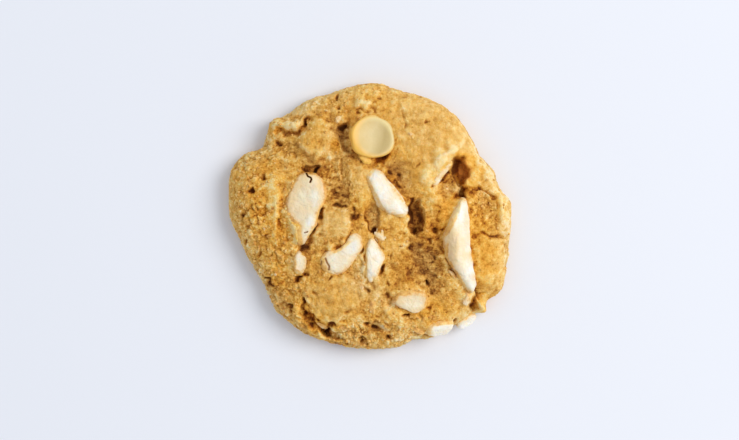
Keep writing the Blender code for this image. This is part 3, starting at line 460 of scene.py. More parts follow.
# Where the nuts are higher (above 0) or lower (below 0)
NUT_RISES = rows(
    Form,
    # Middle nut
    (2.4, 4.8, 5, 1, -60, 0.7, 2), (4.5, 9.6, 1.3, 0.9, -50, -1.2, 2),
    # Long nut
    (24.2, -17.2, 1.6, 1.2, 100, 0.4, 2), (19.3, -6, 8, 2.3, 97, 0.9), (20.4, 2, 3.4, 1.5, 72, 0.5, 2),
    # Sliver
    (-0.8, -10.4, 4.8, 0.9, 93, 0.7, 2),
)

# Where the nuts' edges stand out (above 0) or draw in (below 0)
NUT_EDGES = rows(
    Form,
    # Middle nut
    (7.6, 6.2, 5.4, 1.6, -55, -0.9), (1.4, 5.2, 5, 1.4, -60, 0.95),
    # Long nut
    (18.4, -8, 4.5, 1.2, 100, 0.3),
    # Wedge
    (-15.8, -10.8, 1.6, 1, 90, 0.5),
    # Nut in the lip
    (18.8, 9.4, 3.8, 1.3, 52, -0.4),
    # Sliver
    (2.3, -12.4, 2, 1.2, 75, -0.7),
    # Left nut
    (-10.9, 1.2, 2.6, 1.2, 68, -0.9), (-13.4, -4.4, 2.6, 1.2, 58, -0.6),
    # Nut in the lip, its upper end
    (20, 13.6, 1.4, 1.4, 0, -0.8),
)

SCRAPS = rows(
    Scrap,
    (2.6, -4.8, 1.9, 1.3, -58), (-11.4, -25.7, 1.6, 0.6, -35), (-5.6, -26.4, 1.7, 0.7, 5),
    (-7.5, 23, 1, 0.8, 40), (0.7, -20.8, 2.1, 0.8, 80), (19.7, -13.8, 1.5, 0.5, -50),
    (22.9, -19.3, 1.8, 0.9, -84), (-22.4, -13.6, 0.35, 0.35, 0), (-25.1, -2.7, 0.35, 0.5, 0),
    (-10.3, 25.2, 0.35, 0.3, 0), (8.8, -5.7, 0.3, 0.25, 0), (-2, -16.6, 0.9, 0.5, 100),
    (11.6, -27, 1.4, 0.8, -20), (9.4, 19.6, 0.7, 0.4, 0),
)


def smoothstep(low, high, value):
    share = np.clip((value - low) / (high - low), 0, 1)
    return share * share * (3 - 2 * share)


def outline_radius(angle):
    """The cookie's radius at these angles: a smooth closed curve through OUTLINE."""
    corners, radii = np.array(OUTLINE).T
    turn = np.degrees(angle) % 360
    after = np.searchsorted(corners, turn, side="right")
    knots = np.concatenate([corners[-2:] - 360, corners, corners[:2] + 360])
    values = np.concatenate([radii[-2:], radii, radii[:2]])
    slopes = np.gradient(values, knots)
    start = after + 1
    span = knots[start + 1] - knots[start]
    share = (turn - knots[start]) / span
    rise = smoothstep(0, 1, share)
    leave = share * (1 - share) ** 2 * span * slopes[start]
    arrive = share**2 * (share - 1) * span * slopes[start + 1]
    return values[start] * (1 - rise) + values[start + 1] * rise + leave + arrive


def dome_profile(share):
    """Radius (1 at the widest), height and outward slope at these shares of the way from top to foot."""
    swing = np.linspace(0, math.pi / 2, 400)
    top_radius = np.sin(swing) ** (2 / DOME_POWER)
    top_height = WIDEST_HEIGHT + (DOME_HEIGHT - WIDEST_HEIGHT) * np.cos(swing) ** (2 / DOME_POWER)
    foot_radius = 1 - FOOT_INSET / MEAN_RADIUS * (1 - np.cos(swing[1:]))
    foot_height = WIDEST_HEIGHT * (1 - np.sin(swing[1:]))
    radius = np.concatenate([top_radius, foot_radius])
    height = np.concatenate([top_height, foot_height])
    steps = np.hypot(np.diff(radius) * MEAN_RADIUS, np.diff(height))
    travelled = np.concatenate([[0], np.cumsum(steps)])
    travelled /= travelled[-1]
    out = -np.gradient(height, travelled)
    up = np.gradient(radius * MEAN_RADIUS, travelled)
    size = np.hypot(out, up)
    return tuple(np.interp(share, travelled, line) for line in (radius, height, out / size, up / size))


def dome_grid(rings):
    """A plain dome on a concentric grid of points: ring 0 is the top's middle and the last ring is the foot.

    Gives each point's ring, place and outward direction.
    """
    steps = np.arange(-rings, rings + 1)
    column, row = (axis.ravel() for axis in np.meshgrid(steps, steps))
    ring = np.maximum(abs(column), abs(row))
    safe = np.where(ring == 0, 1, ring)
    quarter = math.pi / 4
    angle = np.where(
        abs(column) >= abs(row),
        quarter * row / safe * np.sign(column) + np.where(column < 0, math.pi, 0),
        2 * quarter - quarter * column / safe * np.sign(row) + np.where(row < 0, math.pi, 0),
    )
    radius, height, out, up = dome_profile(ring / rings)
    reach = radius * outline_radius(angle)
    points = np.column_stack([reach * np.cos(angle), reach * np.sin(angle), height])
    return ring, points, np.column_stack([out * np.cos(angle), out * np.sin(angle), up])


def drift(place):
    """A shift that changes smoothly from place to place, up to about 1 each way."""
    return Vector(noise.noise(place + Vector((0, 0, 10 * axis + 5))) for axis in range(3))


def ragged(x, y):
    """These places moved about a little, which gives the forms uneven edges."""
    moved = []
    for place in zip(x, y):
        place = Vector((*place, 0))
        shift = WOBBLE * drift(place / WOBBLE_SIZE) + FRAY * drift(place / FRAY_SIZE)
        moved.append((place + shift).to_2d())
    return np.array(moved).T


def form_height(form, x, y):
    """What one form adds at these places."""
    turn = math.radians(form.turn)
    along = (x - form.x) * math.cos(turn) + (y - form.y) * math.sin(turn)
    across = (y - form.y) * math.cos(turn) - (x - form.x) * math.sin(turn)
    away = np.hypot(along / form.length, across / form.width)
    return form.height * np.exp(-(away**form.steepness))


def forms_height(forms, x, y):
    return sum(form_height(form, x, y) for form in forms)


def distance_to_path(points, x, y):
    """The distance from these places to a path through the points."""
    nearest = np.full(np.shape(x), np.inf)
    for (x0, y0), (x1, y1) in zip(points, points[1:]):
        dx, dy = x1 - x0, y1 - y0
        share = np.clip(((x - x0) * dx + (y - y0) * dy) / (dx * dx + dy * dy), 0, 1)
        nearest = np.minimum(nearest, np.hypot(x - x0 - share * dx, y - y0 - share * dy))
    return nearest


def hollow_depth(hollow, x, y):
    """How far a hollow goes down at these places."""
    loop = hollow.corners + hollow.corners[:1]
    inside = np.zeros(np.shape(x), dtype=bool)
    for (x0, y0), (x1, y1) in zip(loop, loop[1:]):
        spans = (y0 > y) != (y1 > y)
        inside ^= spans & (x < x0 + (y - y0) * (x1 - x0) / np.where(y1 == y0, 1, y1 - y0))
    wall = max(hollow.wall, LEAST_WALL)
    return hollow.depth * smoothstep(0, wall, np.where(inside, distance_to_path(loop, x, y), 0))


def hollows_depth(hollows, x, y):
    return sum(hollow_depth(hollow, x, y) for hollow in hollows)


def crevices_depth(crevices, x, y):
    depth = np.zeros(np.shape(x))
    for crevice in crevices:
        away = distance_to_path(crevice.points, x, y) / crevice.width
        depth = np.maximum(depth, crevice.depth * np.exp(-(away**2)))
    return depth


def relief(x, y):
    """How far the dough rises above its plain dome at these places."""
    rise = forms_height(MOUNDS + PITS, x, y) - crevices_depth(CREVICES, x, y)
    return rise - hollows_depth(HOLLOWS, x, y)


def crags(points):
    """Two sizes of lumpy noise, from -1 to 1, at these points."""
    rough = []
    for point in points:
        place = Vector(point) / CRAG_SIZE
        rough.append(0.65 * noise.noise(place) + 0.35 * noise.noise(place * 2.1))
    return np.array(rough)


def formed_dome(rings):
    """The dome with its forms and crags: each point's ring, place, outward direction and rise."""
    ring, points, normal = dome_grid(rings)
    rise = relief(*ragged(points[:, 0], points[:, 1])) * smoothstep(0.0, 0.6, normal[:, 2])
    points[:, 2] += rise
    rough = crags(points) * CRAG_HEIGHT
    points += np.where(ring == rings, 0, rough)[:, None] * normal
    return ring, points, normal, rise + rough


def noise_at(points, size, offset=0.0):
    """Noise from about -1 to 1 at these points, with lumps of this size."""
    shift = Vector((offset, 2.3 * offset, -offset))
    return np.array([noise.noise(Vector(point) / size + shift) for point in points])


def crumb_at(points, size, offset=0.0):
    """Packed crumbs of this size: 0 in a crease to 1 on a crumb, and each crumb's own number from -1 to 1."""
    creases, numbers = [], []
    for point in points:
        place = Vector(point) / size + Vector((offset, -offset, 2 * offset))
        far, middles = noise.voronoi(place + 0.3 * drift(place * 1.6))
        creases.append(far[1] - far[0])
        numbers.append(noise.cell(middles[0] * 7.3))
    return smoothstep(0.0, 0.30, np.array(creases)), np.array(numbers)


def blurred(values, reach):
    """Values at the fine grid's points, averaged twice over squares of this half width."""
    field = values.reshape(GRID_SIDE, GRID_SIDE)
    width = 2 * reach + 1
    for _ in range(2):
        for axis in (0, 1):
            edge = [(0, 0), (0, 0)]
            edge[axis] = (reach + 1, reach)
            total = np.cumsum(np.pad(field, edge, mode="edge"), axis=axis)
            ends = np.take(total, np.arange(width, total.shape[axis]), axis=axis)
            starts = np.take(total, np.arange(0, total.shape[axis] - width), axis=axis)
            field = (ends - starts) / width
    return field.ravel()


def nuts_tree():
    """The nuts' solids, for finding what lies nearest or below a point."""
    vertices, faces = [], []
    for name in NUT_NODES:
        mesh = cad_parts[name].data
        first = len(vertices)
        vertices += [vertex.co / MM for vertex in mesh.vertices]
        faces += [[first + index for index in face.vertices] for face in mesh.polygons]
    return BVHTree.FromPolygons(vertices, faces)


def outside(tree, point):
    """A point's distance to the nearest nut, or 0 inside one."""
    place, normal, _, away = tree.find_nearest(point)
    return away if (point - place).dot(normal) > 0 else 0.0


def top_at(tree, point):
    """The height of what lies above or below a point, or far down where there is nothing."""
    hit = tree.ray_cast(Vector((point.x, point.y, FAR)), Vector((0, 0, -1)))[0]
    return hit.z if hit else -FAR


def anchored(table):
    """The same things, moved so that `ragged` leaves them where the table has them."""
    moved = []
    for thing in table:
        for name in ("corners", "points"):
            if hasattr(thing, name):
                thing = thing._replace(**{name: tuple(zip(*ragged(*zip(*getattr(thing, name)))))})
        if hasattr(thing, "x"):
            x, y = ragged([thing.x], [thing.y])
            thing = thing._replace(x=x[0], y=y[0])
        moved.append(thing)
    return moved


def dough_surface():
    """The fine grid's points and what colours them, by name."""
    ring, points, normal, rise = formed_dome(GRID_RINGS)
    foot = ring == GRID_RINGS
    level = points * (1, 1, 0)
    x, y = ragged(points[:, 0], points[:, 1])
    facing_up = smoothstep(0.0, 0.6, normal[:, 2])
    coarse = np.clip(COARSENESS + forms_height(anchored(COARSE), x, y), 0.05, 1)

    # Cracks, pinholes and small hollows
    broken = smoothstep(-0.3, 0.2, noise_at(level, 1.9, 23))
    spots = 0
    for spot in anchored(SPOTS):
        away = np.hypot(x - spot.x, y - spot.y) / spot.radius
        spots = spots + spot.radius * np.exp(-(away**3))
    fine = -crevices_depth(anchored(CRACKS), x, y) * (0.45 + 0.55 * broken) - PINHOLE_DEPTH * spots
    fine -= hollows_depth(anchored(SMALL_HOLLOWS), x, y)
    fine += forms_height(anchored(RISES), x, y)
    fine *= facing_up

    # Packed crumbs, larger and deeper where the crust is coarse
    crumbly = coarse * (0.3 + 0.7 * smoothstep(-0.25, 0.25, noise_at(points, 4.5, 31)))
    large, large_number = crumb_at(points, LARGE_CRUMB, 3)
    small, small_number = crumb_at(points, SMALL_CRUMB, 9)
    fine += (0.35 + 0.35 * coarse) * crumbly * (large * (0.7 + 0.3 * large_number) - 0.5)
    fine += (0.05 + 0.22 * coarse) * (small * (0.7 + 0.3 * small_number) - 0.5)
    fine += (0.05 + 0.18 * coarse) * noise_at(points, 1.2, 41)
    fine += 0.05 * noise_at(points, 0.5, 43)

    # The crust rises where it meets the nuts and has run up over some of them
    tree = nuts_tree()
    away = np.array([outside(tree, Vector(point)) for point in points])
    collar = np.clip(0.15 + 0.5 * noise_at(level, 2.4, 51), 0, 0.5)
    fine += collar * np.exp(-((away / COLLAR_REACH) ** 2)) * facing_up
    points += np.where(foot, 0, fine)[:, None] * normal
    smear = crevices_depth(anchored(SMEARS), x, y) + 0.25 * noise_at(level, 1.3, 53)
    tops = [top_at(tree, Vector(point)) if part > 0.1 else -FAR for point, part in zip(points, smear)]
    cover = smoothstep(0.3, 0.5, smear) * np.clip(np.array(tops) + SMEAR_THICKNESS - points[:, 2], 0, 4)
    cover = blurred(cover, 1)
    points[:, 2] += cover
    points[:, 2] = np.where(foot, 0, np.maximum(points[:, 2], LOWEST_CRUST))

    # Painted light and shade: paler and more orange on the rises, browner and duller in the dips, darker at
    # each pinhole and darkest down in the hollows
    rise = rise + fine + cover
    wide = rise - blurred(rise, 14)
    deep = hollows_depth(HOLLOWS, x, y)
    rise += deep * facing_up
    near = rise - blurred(rise, 3)
    brink = smoothstep(0.84, 0.97, np.hypot(x, y) / outline_radius(np.arctan2(y, x)))
    tone = 0.60 + 0.60 * np.clip(near, -0.4, 0.25) + 0.14 * np.clip(wide, -2.4, 0.6) + 0.10 * brink
    tone += 0.08 * crumbly * large_number + 0.06 * small_number - 0.2 * spots - 0.05 * np.minimum(deep, 3)
    return points, {
        "tone": tone + 0.5 * forms_height(anchored(TINTS_LIGHT_AND_SHADE), x, y),
        "hue": forms_height(anchored(HUES_AND_WARM_SHADE), x, y) + 0.25 * np.clip(wide, -1.2, 0.8) - 0.2 * brink,
        "coarse": coarse,
    }


def grid_faces():
    """The four corners' numbers of each face of the fine grid."""
    along = np.arange(GRID_SIDE - 1)
    first = (along[:, None] * GRID_SIDE + along).ravel()
    return np.column_stack([first, first + 1, first + GRID_SIDE + 1, first + GRID_SIDE]).tolist()


def eased_in(points):
    """These points in metres, eased back where they would stand out of the CAD model's box."""
    low, high = np.array(cad_size)
    soft = EASE * MM
    points = np.minimum(points, high - soft + soft * np.tanh(np.maximum(points - high + soft, 0) / soft))
    sides = points[:, :2]
    low = low[:2] + soft
    points[:, :2] = np.maximum(sides, low - soft * np.tanh(np.maximum(low - sides, 0) / soft))
    return points


def placed(name, data):
    """A new object in the scene, which shows this data."""
    made = bpy.data.objects.new(name, data)
    bpy.context.scene.collection.objects.link(made)
    return made


def placed_mesh(name, mesh):
    data = bpy.data.meshes.new(name)
    mesh.to_mesh(data)
    mesh.free()
    return placed(name, data)


def new_object(name, mesh, finish):
    """A piece of the cookie, kept within the CAD model's box."""
    for vertex, point in zip(mesh.verts, eased_in(np.array([vertex.co for vertex in mesh.verts]))):
        vertex.co = point
    made = placed_mesh(name, mesh)
    made.data.shade_smooth()
    made.data.materials.append(finish)
    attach(made, "root")
    return made


def store(piece, name, values):
    """Keeps a number at each of the piece's points for its material to read."""
    attribute = piece.data.attributes.new(name, "FLOAT", "POINT")
    attribute.data.foreach_set("value", np.asarray(values, dtype=np.float32))


def build_dough(finish):
    points, colours = dough_surface()
    mesh = bmesh.new()
    corners = [mesh.verts.new(Vector(point) * MM) for point in points]
    for face in grid_faces():
        mesh.faces.new([corners[number] for number in face])
    foot = [edge for edge in mesh.edges if edge.is_boundary]
    base = bmesh.ops.contextual_create(mesh, geom=foot)["faces"]
    bmesh.ops.inset_region(mesh, faces=base, thickness=0.6 * MM)
    bmesh.ops.recalc_face_normals(mesh, faces=mesh.faces)
    added = len(mesh.verts) - len(points)
    dough = new_object("dough", mesh, finish)
    for name in ("tone", "hue", "coarse"):
        store(dough, name, np.concatenate([colours[name], np.full(added, colours[name][0])]))
    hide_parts(DOUGH_NODE)
    return points, colours


def points_of(mesh):
    """A mesh's points and its normals."""
    mesh.normal_update()
    points = np.array([vertex.co / MM for vertex in mesh.verts])
    return points, np.array([vertex.normal for vertex in mesh.verts])


def refined(node, levels):
    """A finer copy of a CAD piece's mesh, with its points and normals."""
    mesh = bmesh.new()
    mesh.from_mesh(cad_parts[node].data)
    bmesh.ops.remove_doubles(mesh, verts=mesh.verts, dist=0.005 * MM)
    copy = placed_mesh("refined", mesh)
    smooth = copy.modifiers.new("fine", "SUBSURF")
    smooth.levels = levels
    graph = bpy.context.evaluated_depsgraph_get()
    fine = bpy.data.meshes.new_from_object(copy.evaluated_get(graph))
    mesh = bmesh.new()
    mesh.from_mesh(fine)
    bpy.data.objects.remove(copy)
    return mesh, *points_of(mesh)


def place_vertices(mesh, points):
    for vertex, point in zip(mesh.verts, points):
        vertex.co = Vector(point) * MM


def finish_nut(piece, points, normals, dough_top, white):
    """Keeps each point's colours, and its distance from where the dough closes over, less its dust."""
    x, y = points[:, 0], points[:, 1]
    buried = points[(points[:, 2] < dough_top(points)) & (normals[:, 2] > 0)]
    edge = KDTree(max(len(buried), 1))
    for index, point in enumerate(buried):
        edge.insert((point[0], point[1], 0), index)
    edge.balance()
    inside = np.array([edge.find((point[0], point[1], 0))[2] or 0 for point in points])
    store(piece, "inside", np.minimum(inside, DUST_REACH) - DUST_REACH * forms_height(DUST, x, y))
    store(piece, "white", white + forms_height(NUT_TINTS, x, y))
    store(piece, "crack", crevices_depth(NUT_CRACKS, x, y))


def build_nut(node, finish, dough_top):
    kind = node.removeprefix("macadamia_")
    mesh, points, normals = refined(node, NUT_LEVELS)
    x, y = points[:, 0], points[:, 1]
    sideways = 1 - np.clip(normals[:, 2], 0, 1)
    uneven = sum(height * noise_at(points, size, seed) for height, size, seed in NUT_LUMPS)
    uneven += sideways * 0.3 * noise_at(points, 1.4, 67)
    uneven -= 0.10 * np.exp(-((noise_at(points, 4.0, 71) / 0.05) ** 2))
    uneven -= NUT_CRACK_DEPTH * crevices_depth(NUT_CRACKS, x, y)
    uneven += forms_height(NUT_EDGES, x, y) * sideways
    points += uneven[:, None] * normals
    points[:, 2] += forms_height(NUT_RISES, x, y) * smoothstep(0.0, 0.4, normals[:, 2])
    place_vertices(mesh, points)
    nut = new_object("nut_" + kind, mesh, finish)
    finish_nut(nut, points, normals, dough_top, WHITENESS[kind])
    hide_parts(node)


def build_chip(finish, dough_top):
    mesh, points, normals = refined(CHIP_NODE, CHIP_LEVELS)
    sideways = 1 - np.clip(normals[:, 2], 0, 1)
    uneven = 0.04 * noise_at(points, 2.2, 91) + 0.8 * sideways * noise_at(points, 3.4, 93)
    points += uneven[:, None] * normals
    place_vertices(mesh, points)
    drop = (*CHIP_DROP, dough_top([(*CHIP_DROP, 0)])[0] + CHIP_DROP_RISE)
    add_lump(mesh, drop, CHIP_DROP_SIZES, turn=-0.5, seed=5, fineness=4)
    points = np.array([vertex.co / MM for vertex in mesh.verts])
    middle = (points.min(axis=0) + points.max(axis=0))[:2] / 2
    away = points[:, :2] - middle
    chip = new_object("chip", mesh, finish)
    # What its colours follow: a sweep across its dish for painted light and shade, the shell at its low side
    # and the rim
    store(chip, "lit_to_shaded", away @ (0.95, -0.3) / 5)
    store(chip, "shell", np.hypot(*(away - (1.2, 0.9)).T))
    store(chip, "rim", np.hypot(*away.T))
    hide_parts(CHIP_NODE)


def top_reader(points):
    """A function that gives the dough's height at places, or 0 beyond its edge."""
    tree = BVHTree.FromPolygons(points.tolist(), grid_faces())

    def top(places):
        return np.array([max(top_at(tree, Vector(place)), 0) for place in places])

    return top


def add_lump(mesh, middle, sizes, turn, seed, fineness):
    """Adds one small broken lump to a mesh."""
    made = bmesh.ops.create_icosphere(mesh, subdivisions=fineness, radius=1)["verts"]
    spin = Matrix.Rotation(turn, 3, "Z")
    shift = Vector((seed, 2 * seed, 0))
    for vertex in made:
        bulge = 1 + 0.45 * noise.noise(vertex.co * 1.1 + shift) + 0.22 * noise.noise(vertex.co * 2.9 + shift)
        shape = Vector(part * size for part, size in zip(vertex.co * bulge, sizes))
        vertex.co = (spin @ shape + Vector(middle)) * MM


def build_crumbs(finish, points, colours):
    """Loose crumbs baked on to the crust, thickest where it is coarse."""
    rng = np.random.default_rng(SEED)
    mesh = bmesh.new()
    weight = colours["coarse"] ** 2 * (points[:, 2] > 5) * (colours["tone"] > 0.5)
    chosen = rng.choice(len(points), size=CRUMB_COUNT, replace=False, p=weight / weight.sum())
    for index in chosen:
        size = rng.uniform(0.2, 0.42)
        sizes = (size * rng.uniform(0.8, 1.5), size * rng.uniform(0.7, 1.1), size * rng.uniform(0.5, 0.8))
        turn, seed = rng.uniform(0, math.pi), rng.uniform(0, 90)
        add_lump(mesh, points[index], sizes, turn, seed, fineness=2)
    new_object("crumbs", mesh, finish)


def build_scraps(finish, dough_top):
    """Scraps of nut and grains of sugar, about three quarters sunk in the crust."""
    mesh = bmesh.new()
    for number, scrap in enumerate(SCRAPS):
        top = dough_top([(scrap.x, scrap.y, 0)])[0]
        middle = (scrap.x, scrap.y, top - SCRAP_HALF_HEIGHT / 2)
        sizes = (scrap.length, scrap.width, SCRAP_HALF_HEIGHT)
        add_lump(mesh, middle, sizes, turn=math.radians(scrap.turn), seed=3.1 * number, fineness=4)
    points, normals = points_of(mesh)
    scraps = new_object("nut_scraps", mesh, finish)
    finish_nut(scraps, points, normals, dough_top, white=0.3)


# Materials

# The crust's colours from dark to pale, at these steps of its tone; the dark tones in the dough are painted
# shade
TONE_STEPS = (0.0, 0.2, 0.4, 0.6, 0.8, 1.0)
ORANGE_CRUST = (
    (0.15, 0.030, 0.001), (0.38, 0.105, 0.005), (0.63, 0.255, 0.022), (0.85, 0.420, 0.060),
    (0.95, 0.570, 0.135), (0.98, 0.74, 0.32),
)
DULL_CRUST = (
    (0.10, 0.028, 0.003), (0.26, 0.095, 0.014), (0.48, 0.222, 0.044), (0.69, 0.388, 0.098),
    (0.88, 0.595, 0.230), (0.97, 0.78, 0.47),
)


class Shade:
    """A material in the making. Sizes are millimetres. A value is a number, a colour or a node's output."""

    def __init__(self, name):
        self.material = bpy.data.materials.new(name)
        self.material.use_nodes = True
        self.nodes = self.material.node_tree.nodes
        self.links = self.material.node_tree.links
        self.shader = self.nodes["Principled BSDF"]
        self.place = self.add("TexCoord").outputs["Object"]

    def add(self, kind, **settings):
        node = self.nodes.new("ShaderNode" + kind)
        for name, value in settings.items():
            setattr(node, name, value)
        return node

    def feed(self, socket, value):
        """Links a socket to an output, or sets the socket itself."""
        if isinstance(value, bpy.types.NodeSocket):
            self.links.new(value, socket)
        elif socket.type == "RGBA":
            socket.default_value = (*value, 1)
        else:
            socket.default_value = value

    def fill(self, node, **values):
        """Feeds a node's inputs by name, with _ for each space in a name."""
        for name, value in values.items():
            self.feed(node.inputs[name.replace("_", " ")], value)
        return node

    def noise(self, size, detail=2.0, roughness=0.5):
        """Noise with lumps of this size."""
        made = self.fill(self.add("TexNoise"), Scale=1 / (size * MM), Detail=detail, Roughness=roughness)
        return self.fill(made, Vector=self.place).outputs["Fac"]

    def cells(self, size):
        """How far each place is from the middle of its cell, with cells of this size."""
        return self.fill(self.add("TexVoronoi"), Scale=1 / (size * MM), Vector=self.place).outputs["Distance"]

    def attribute(self, name):
        return self.add("Attribute", attribute_name=name).outputs["Fac"]

    def ramp(self, value, *stops):
        made = self.add("ValToRGB")
        elements = made.color_ramp.elements
        while len(elements) < len(stops):
            elements.new(0.5)
        for element, (place, colour) in zip(elements, stops):
            element.position = place
            element.color = (*colour, 1)
        return self.fill(made, Fac=value).outputs["Color"]

    def mix(self, share, first, second):
        made = self.add("Mix", data_type="RGBA", clamp_factor=True)
        # The node has such sockets for each type of data: these are the factor and the two colours
        for number, value in ((0, share), (6, first), (7, second)):
            self.feed(made.inputs[number], value)
        return made.outputs[2]

    def math(self, operation, first, second):
        made = self.add("Math", operation=operation)
        self.feed(made.inputs[0], first)
        self.feed(made.inputs[1], second)
        return made.outputs["Value"]

    def weighed(self, first, *others):
        """The first value plus each other's (value, middle, weight): its distance from middle, weighed."""
        total = first
        for value, middle, weight in others:
            away = self.math("SUBTRACT", value, middle)
            total = self.math("ADD", total, self.math("MULTIPLY", away, weight))
        return total

    def map_range(self, value, low, high, to_low=0.0, to_high=1.0):
        made = self.fill(self.add("MapRange"), From_Min=low, From_Max=high, To_Min=to_low, To_Max=to_high)
        return self.fill(made, Value=value).outputs["Result"]

    def bump(self, height, distance):
        made = self.fill(self.add("Bump"), Distance=distance * MM, Height=height)
        self.fill(self.shader, Normal=made.outputs["Normal"])

    def soften(self, weight, radius, scale):
        """Lets light into the surface: how much, how far for each colour, and on what scale."""
        self.fill(self.shader, Subsurface_Weight=weight, Subsurface_Radius=radius)
        self.fill(self.shader, Subsurface_Scale=scale * MM)

    def crust(self, tone, hue):
        """The crust's colour, dark at 0 (the dough's painted shade) to pale at 1, between duller and more
        orange.
        """
        orange, dull = (self.ramp(tone, *zip(TONE_STEPS, colours)) for colours in (ORANGE_CRUST, DULL_CRUST))
        return self.mix(hue, dull, orange)


def dough_material():
    shade = Shade("baked_dough")
    patches = shade.noise(4.0, 3)
    mottle = shade.noise(1.2, 3, 0.6)
    grain = shade.noise(0.42, 2, 0.6)
    specks = shade.map_range(shade.cells(1.25), 0.10, 0.26)
    uneven = shade.weighed(
        0.0, (mottle, 0.5, 0.8), (grain, 0.5, 0.65), (specks, 1.0, 0.25), (patches, 0.5, 0.4),
    )
    strength = shade.map_range(shade.attribute("coarse"), 0.05, 0.6, 0.35, 1.05)
    uneven = shade.math("MULTIPLY", uneven, strength)
    # The dough's tone, which carries its painted light and shade, made uneven
    tone = shade.math("ADD", shade.attribute("tone"), uneven)
    hue = shade.weighed(shade.attribute("hue"), (shade.noise(2.0, 3, 0.6), -0.05, 1.2))
    # Painted shade and warm bounced light: dark red deep in the hollows, where the hue is far past orange
    bounce_share = shade.map_range(hue, 2.0, 2.7, 0.0, 0.9)
    bounce_red = shade.ramp(mottle, (0.35, (0.40, 0.11, 0.012)), (0.65, (0.98, 0.37, 0.06)))
    shade.fill(
        shade.shader,
        Base_Color=shade.mix(bounce_share, shade.crust(tone, hue), bounce_red),
        Roughness=shade.map_range(mottle, 0.3, 0.7, 0.6, 0.8),
        Specular_IOR_Level=0.15,
    )
    shade.soften(0.12, (1.0, 0.4, 0.12), 0.8)
    shade.bump(shade.weighed(shade.noise(0.3, 3, 0.7), (shade.cells(0.6), 0.0, -0.6)), 0.22)
    return shade.material


def crumb_material():
    shade = Shade("dough_crumbs")
    grain = shade.noise(0.4, 2, 0.6)
    tone = shade.weighed(shade.noise(1.6, 3, 0.6), (grain, 0.4, 0.7))
    shade.fill(shade.shader, Base_Color=shade.crust(tone, shade.noise(3.0)), Roughness=0.7)
    shade.bump(grain, 0.15)
    return shade.material


def nut_material():
    shade = Shade("macadamia")
    cloud = shade.noise(3.2, 3)
    fray = shade.noise(0.9, 4, 0.65)
    inside = shade.attribute("inside")
    own_white = shade.attribute("white")
    pale = shade.map_range(inside, 0.2, 1.5, -0.3, 0.1)
    flesh = shade.ramp(
        shade.weighed(own_white, (cloud, 0.5, 1.6), (pale, 0.0, 1.0)),
        (0.0, (0.88, 0.66, 0.36)),
        (0.5, (0.93, 0.80, 0.56)),
        (1.0, (0.96, 0.93, 0.84)),
    )
    blush = shade.map_range(shade.noise(2.0, 2), 0.5, 0.7, 0.0, 0.5)
    flesh = shade.mix(blush, flesh, (0.93, 0.72, 0.50))

    # Crumb baked on to it, thickest where the dough closes over
    dusted = shade.map_range(shade.weighed(inside, (fray, 0.5, 2.0)), 0.6, -0.2, 0.0, 0.85)
    baked = shade.weighed(fray, (cloud, 0.3, 0.9), (own_white, 0.3, 0.35))
    colour = shade.mix(dusted, flesh, shade.crust(baked, shade.weighed(cloud, (fray, 0.2, 1.0))))

    # Its cracks, without gloss, with painted shade from brown to near black down in them
    crack = shade.attribute("crack")
    cracked = shade.map_range(crack, 0.12, 0.4)
    dark = shade.ramp(
        crack,
        (0.2, (0.42, 0.19, 0.06)),
        (0.5, (0.20, 0.07, 0.018)),
        (0.8, (0.015, 0.006, 0.002)),
    )
    shade.fill(
        shade.shader,
        Base_Color=shade.mix(cracked, colour, dark),
        Roughness=0.55,
        Specular_IOR_Level=shade.map_range(cracked, 0.0, 1.0, 0.35, 0.0),
    )
    shade.soften(0.2, (1.0, 0.7, 0.4), 0.6)
    shade.bump(shade.noise(0.6, 4, 0.65), 0.25)
    return shade.material


def chip_material():
    shade = Shade("white_chocolate")
    cloud = shade.noise(3.0)
    # Painted light and shade across the dish: yellow and pale where it is lit on the left, darker to the
    # right where it is shaded
    lit_to_shaded = shade.weighed(shade.attribute("lit_to_shaded"), (cloud, 0.5, 0.5))
    face = shade.ramp(
        shade.map_range(lit_to_shaded, -0.9, 0.9),
        (0.0, (0.66, 0.44, 0.105)),
        (0.5, (0.71, 0.55, 0.255)),
        (0.8, (0.56, 0.41, 0.16)),
        (1.0, (0.62, 0.46, 0.19)),
    )
    # Painted highlight, paler all round the rim
    rim = shade.map_range(shade.weighed(shade.attribute("rim"), (cloud, 0.5, 0.4)), 4.1, 5.0)
    colour = shade.mix(rim, face, (0.76, 0.60, 0.26))
    shell = shade.map_range(shade.weighed(shade.attribute("shell"), (cloud, 0.5, 0.5)), 4.0, 5.3)
    shade.fill(shade.shader, Base_Color=shade.mix(shell, colour, (0.86, 0.50, 0.085)), Roughness=0.4)
    shade.soften(0.2, (1.0, 0.7, 0.35), 1.0)
    shade.bump(shade.noise(1.2), 0.05)
    return shade.material


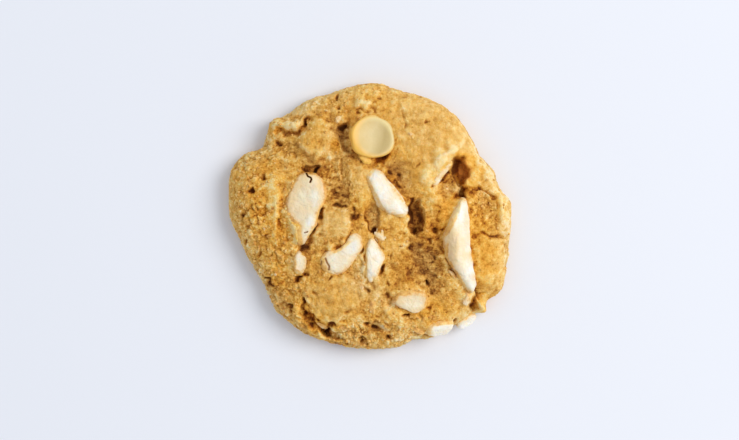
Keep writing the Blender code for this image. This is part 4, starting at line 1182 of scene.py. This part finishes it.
def table_material():
    shade = Shade("table")
    colour = shade.ramp(shade.noise(400.0), (0.3, (0.82, 0.84, 0.90)), (0.7, (0.84, 0.86, 0.92)))
    shade.fill(shade.shader, Base_Color=colour, Roughness=0.9, Specular_IOR_Level=0.1)
    return shade.material


# The table, the light and the camera

def build_table():
    """The table's top, in metres."""
    mesh = bmesh.new()
    bmesh.ops.create_grid(mesh, x_segments=8, y_segments=8, size=1.5)
    table = placed_mesh("table", mesh)
    table.data.materials.append(table_material())


def add_window():
    """Soft light from a round window to the right of the cookie and a little beyond it, in metres."""
    azimuth, elevation, distance = math.radians(18), math.radians(47), 1.2
    light = bpy.data.lights.new("window", "AREA")
    light.shape = "DISK"
    light.size = 0.8
    light.energy = 8.9
    light.color = (1.0, 0.975, 0.94)
    lamp = placed("window", light)
    across = math.cos(elevation)
    lamp.location = distance * Vector((
        math.cos(azimuth) * across, math.sin(azimuth) * across, math.sin(elevation),
    ))
    lamp.rotation_euler = (-lamp.location).to_track_quat("-Z", "Y").to_euler()


def light_scene():
    scene = bpy.context.scene
    world = bpy.data.worlds.new("studio")
    world.use_nodes = True
    sky = world.node_tree.nodes["Background"]
    sky.inputs["Color"].default_value = (0.90, 0.94, 1.0, 1)
    sky.inputs["Strength"].default_value = 0.66
    scene.world = world
    add_window()
    scene.view_settings.view_transform = "Standard"


def place_camera():
    """Straight above, so high that it sees VIEW_WIDTH at the level where the cookie is widest."""
    camera = bpy.data.cameras.new("camera")
    camera.sensor_width = 36
    camera.lens = 100
    height = camera.lens / camera.sensor_width * VIEW_WIDTH * MM
    eye = placed("camera", camera)
    eye.location = (VIEW_MIDDLE[0] * MM, VIEW_MIDDLE[1] * MM, height + WIDEST_HEIGHT * MM)
    bpy.context.scene.camera = eye


def main():
    points, colours = build_dough(dough_material())
    dough_top = top_reader(points)
    nut_finish = nut_material()
    for node in NUT_NODES:
        build_nut(node, nut_finish, dough_top)
    build_chip(chip_material(), dough_top)
    build_scraps(nut_finish, dough_top)
    build_crumbs(crumb_material(), points, colours)
    build_table()
    light_scene()
    place_camera()


main()
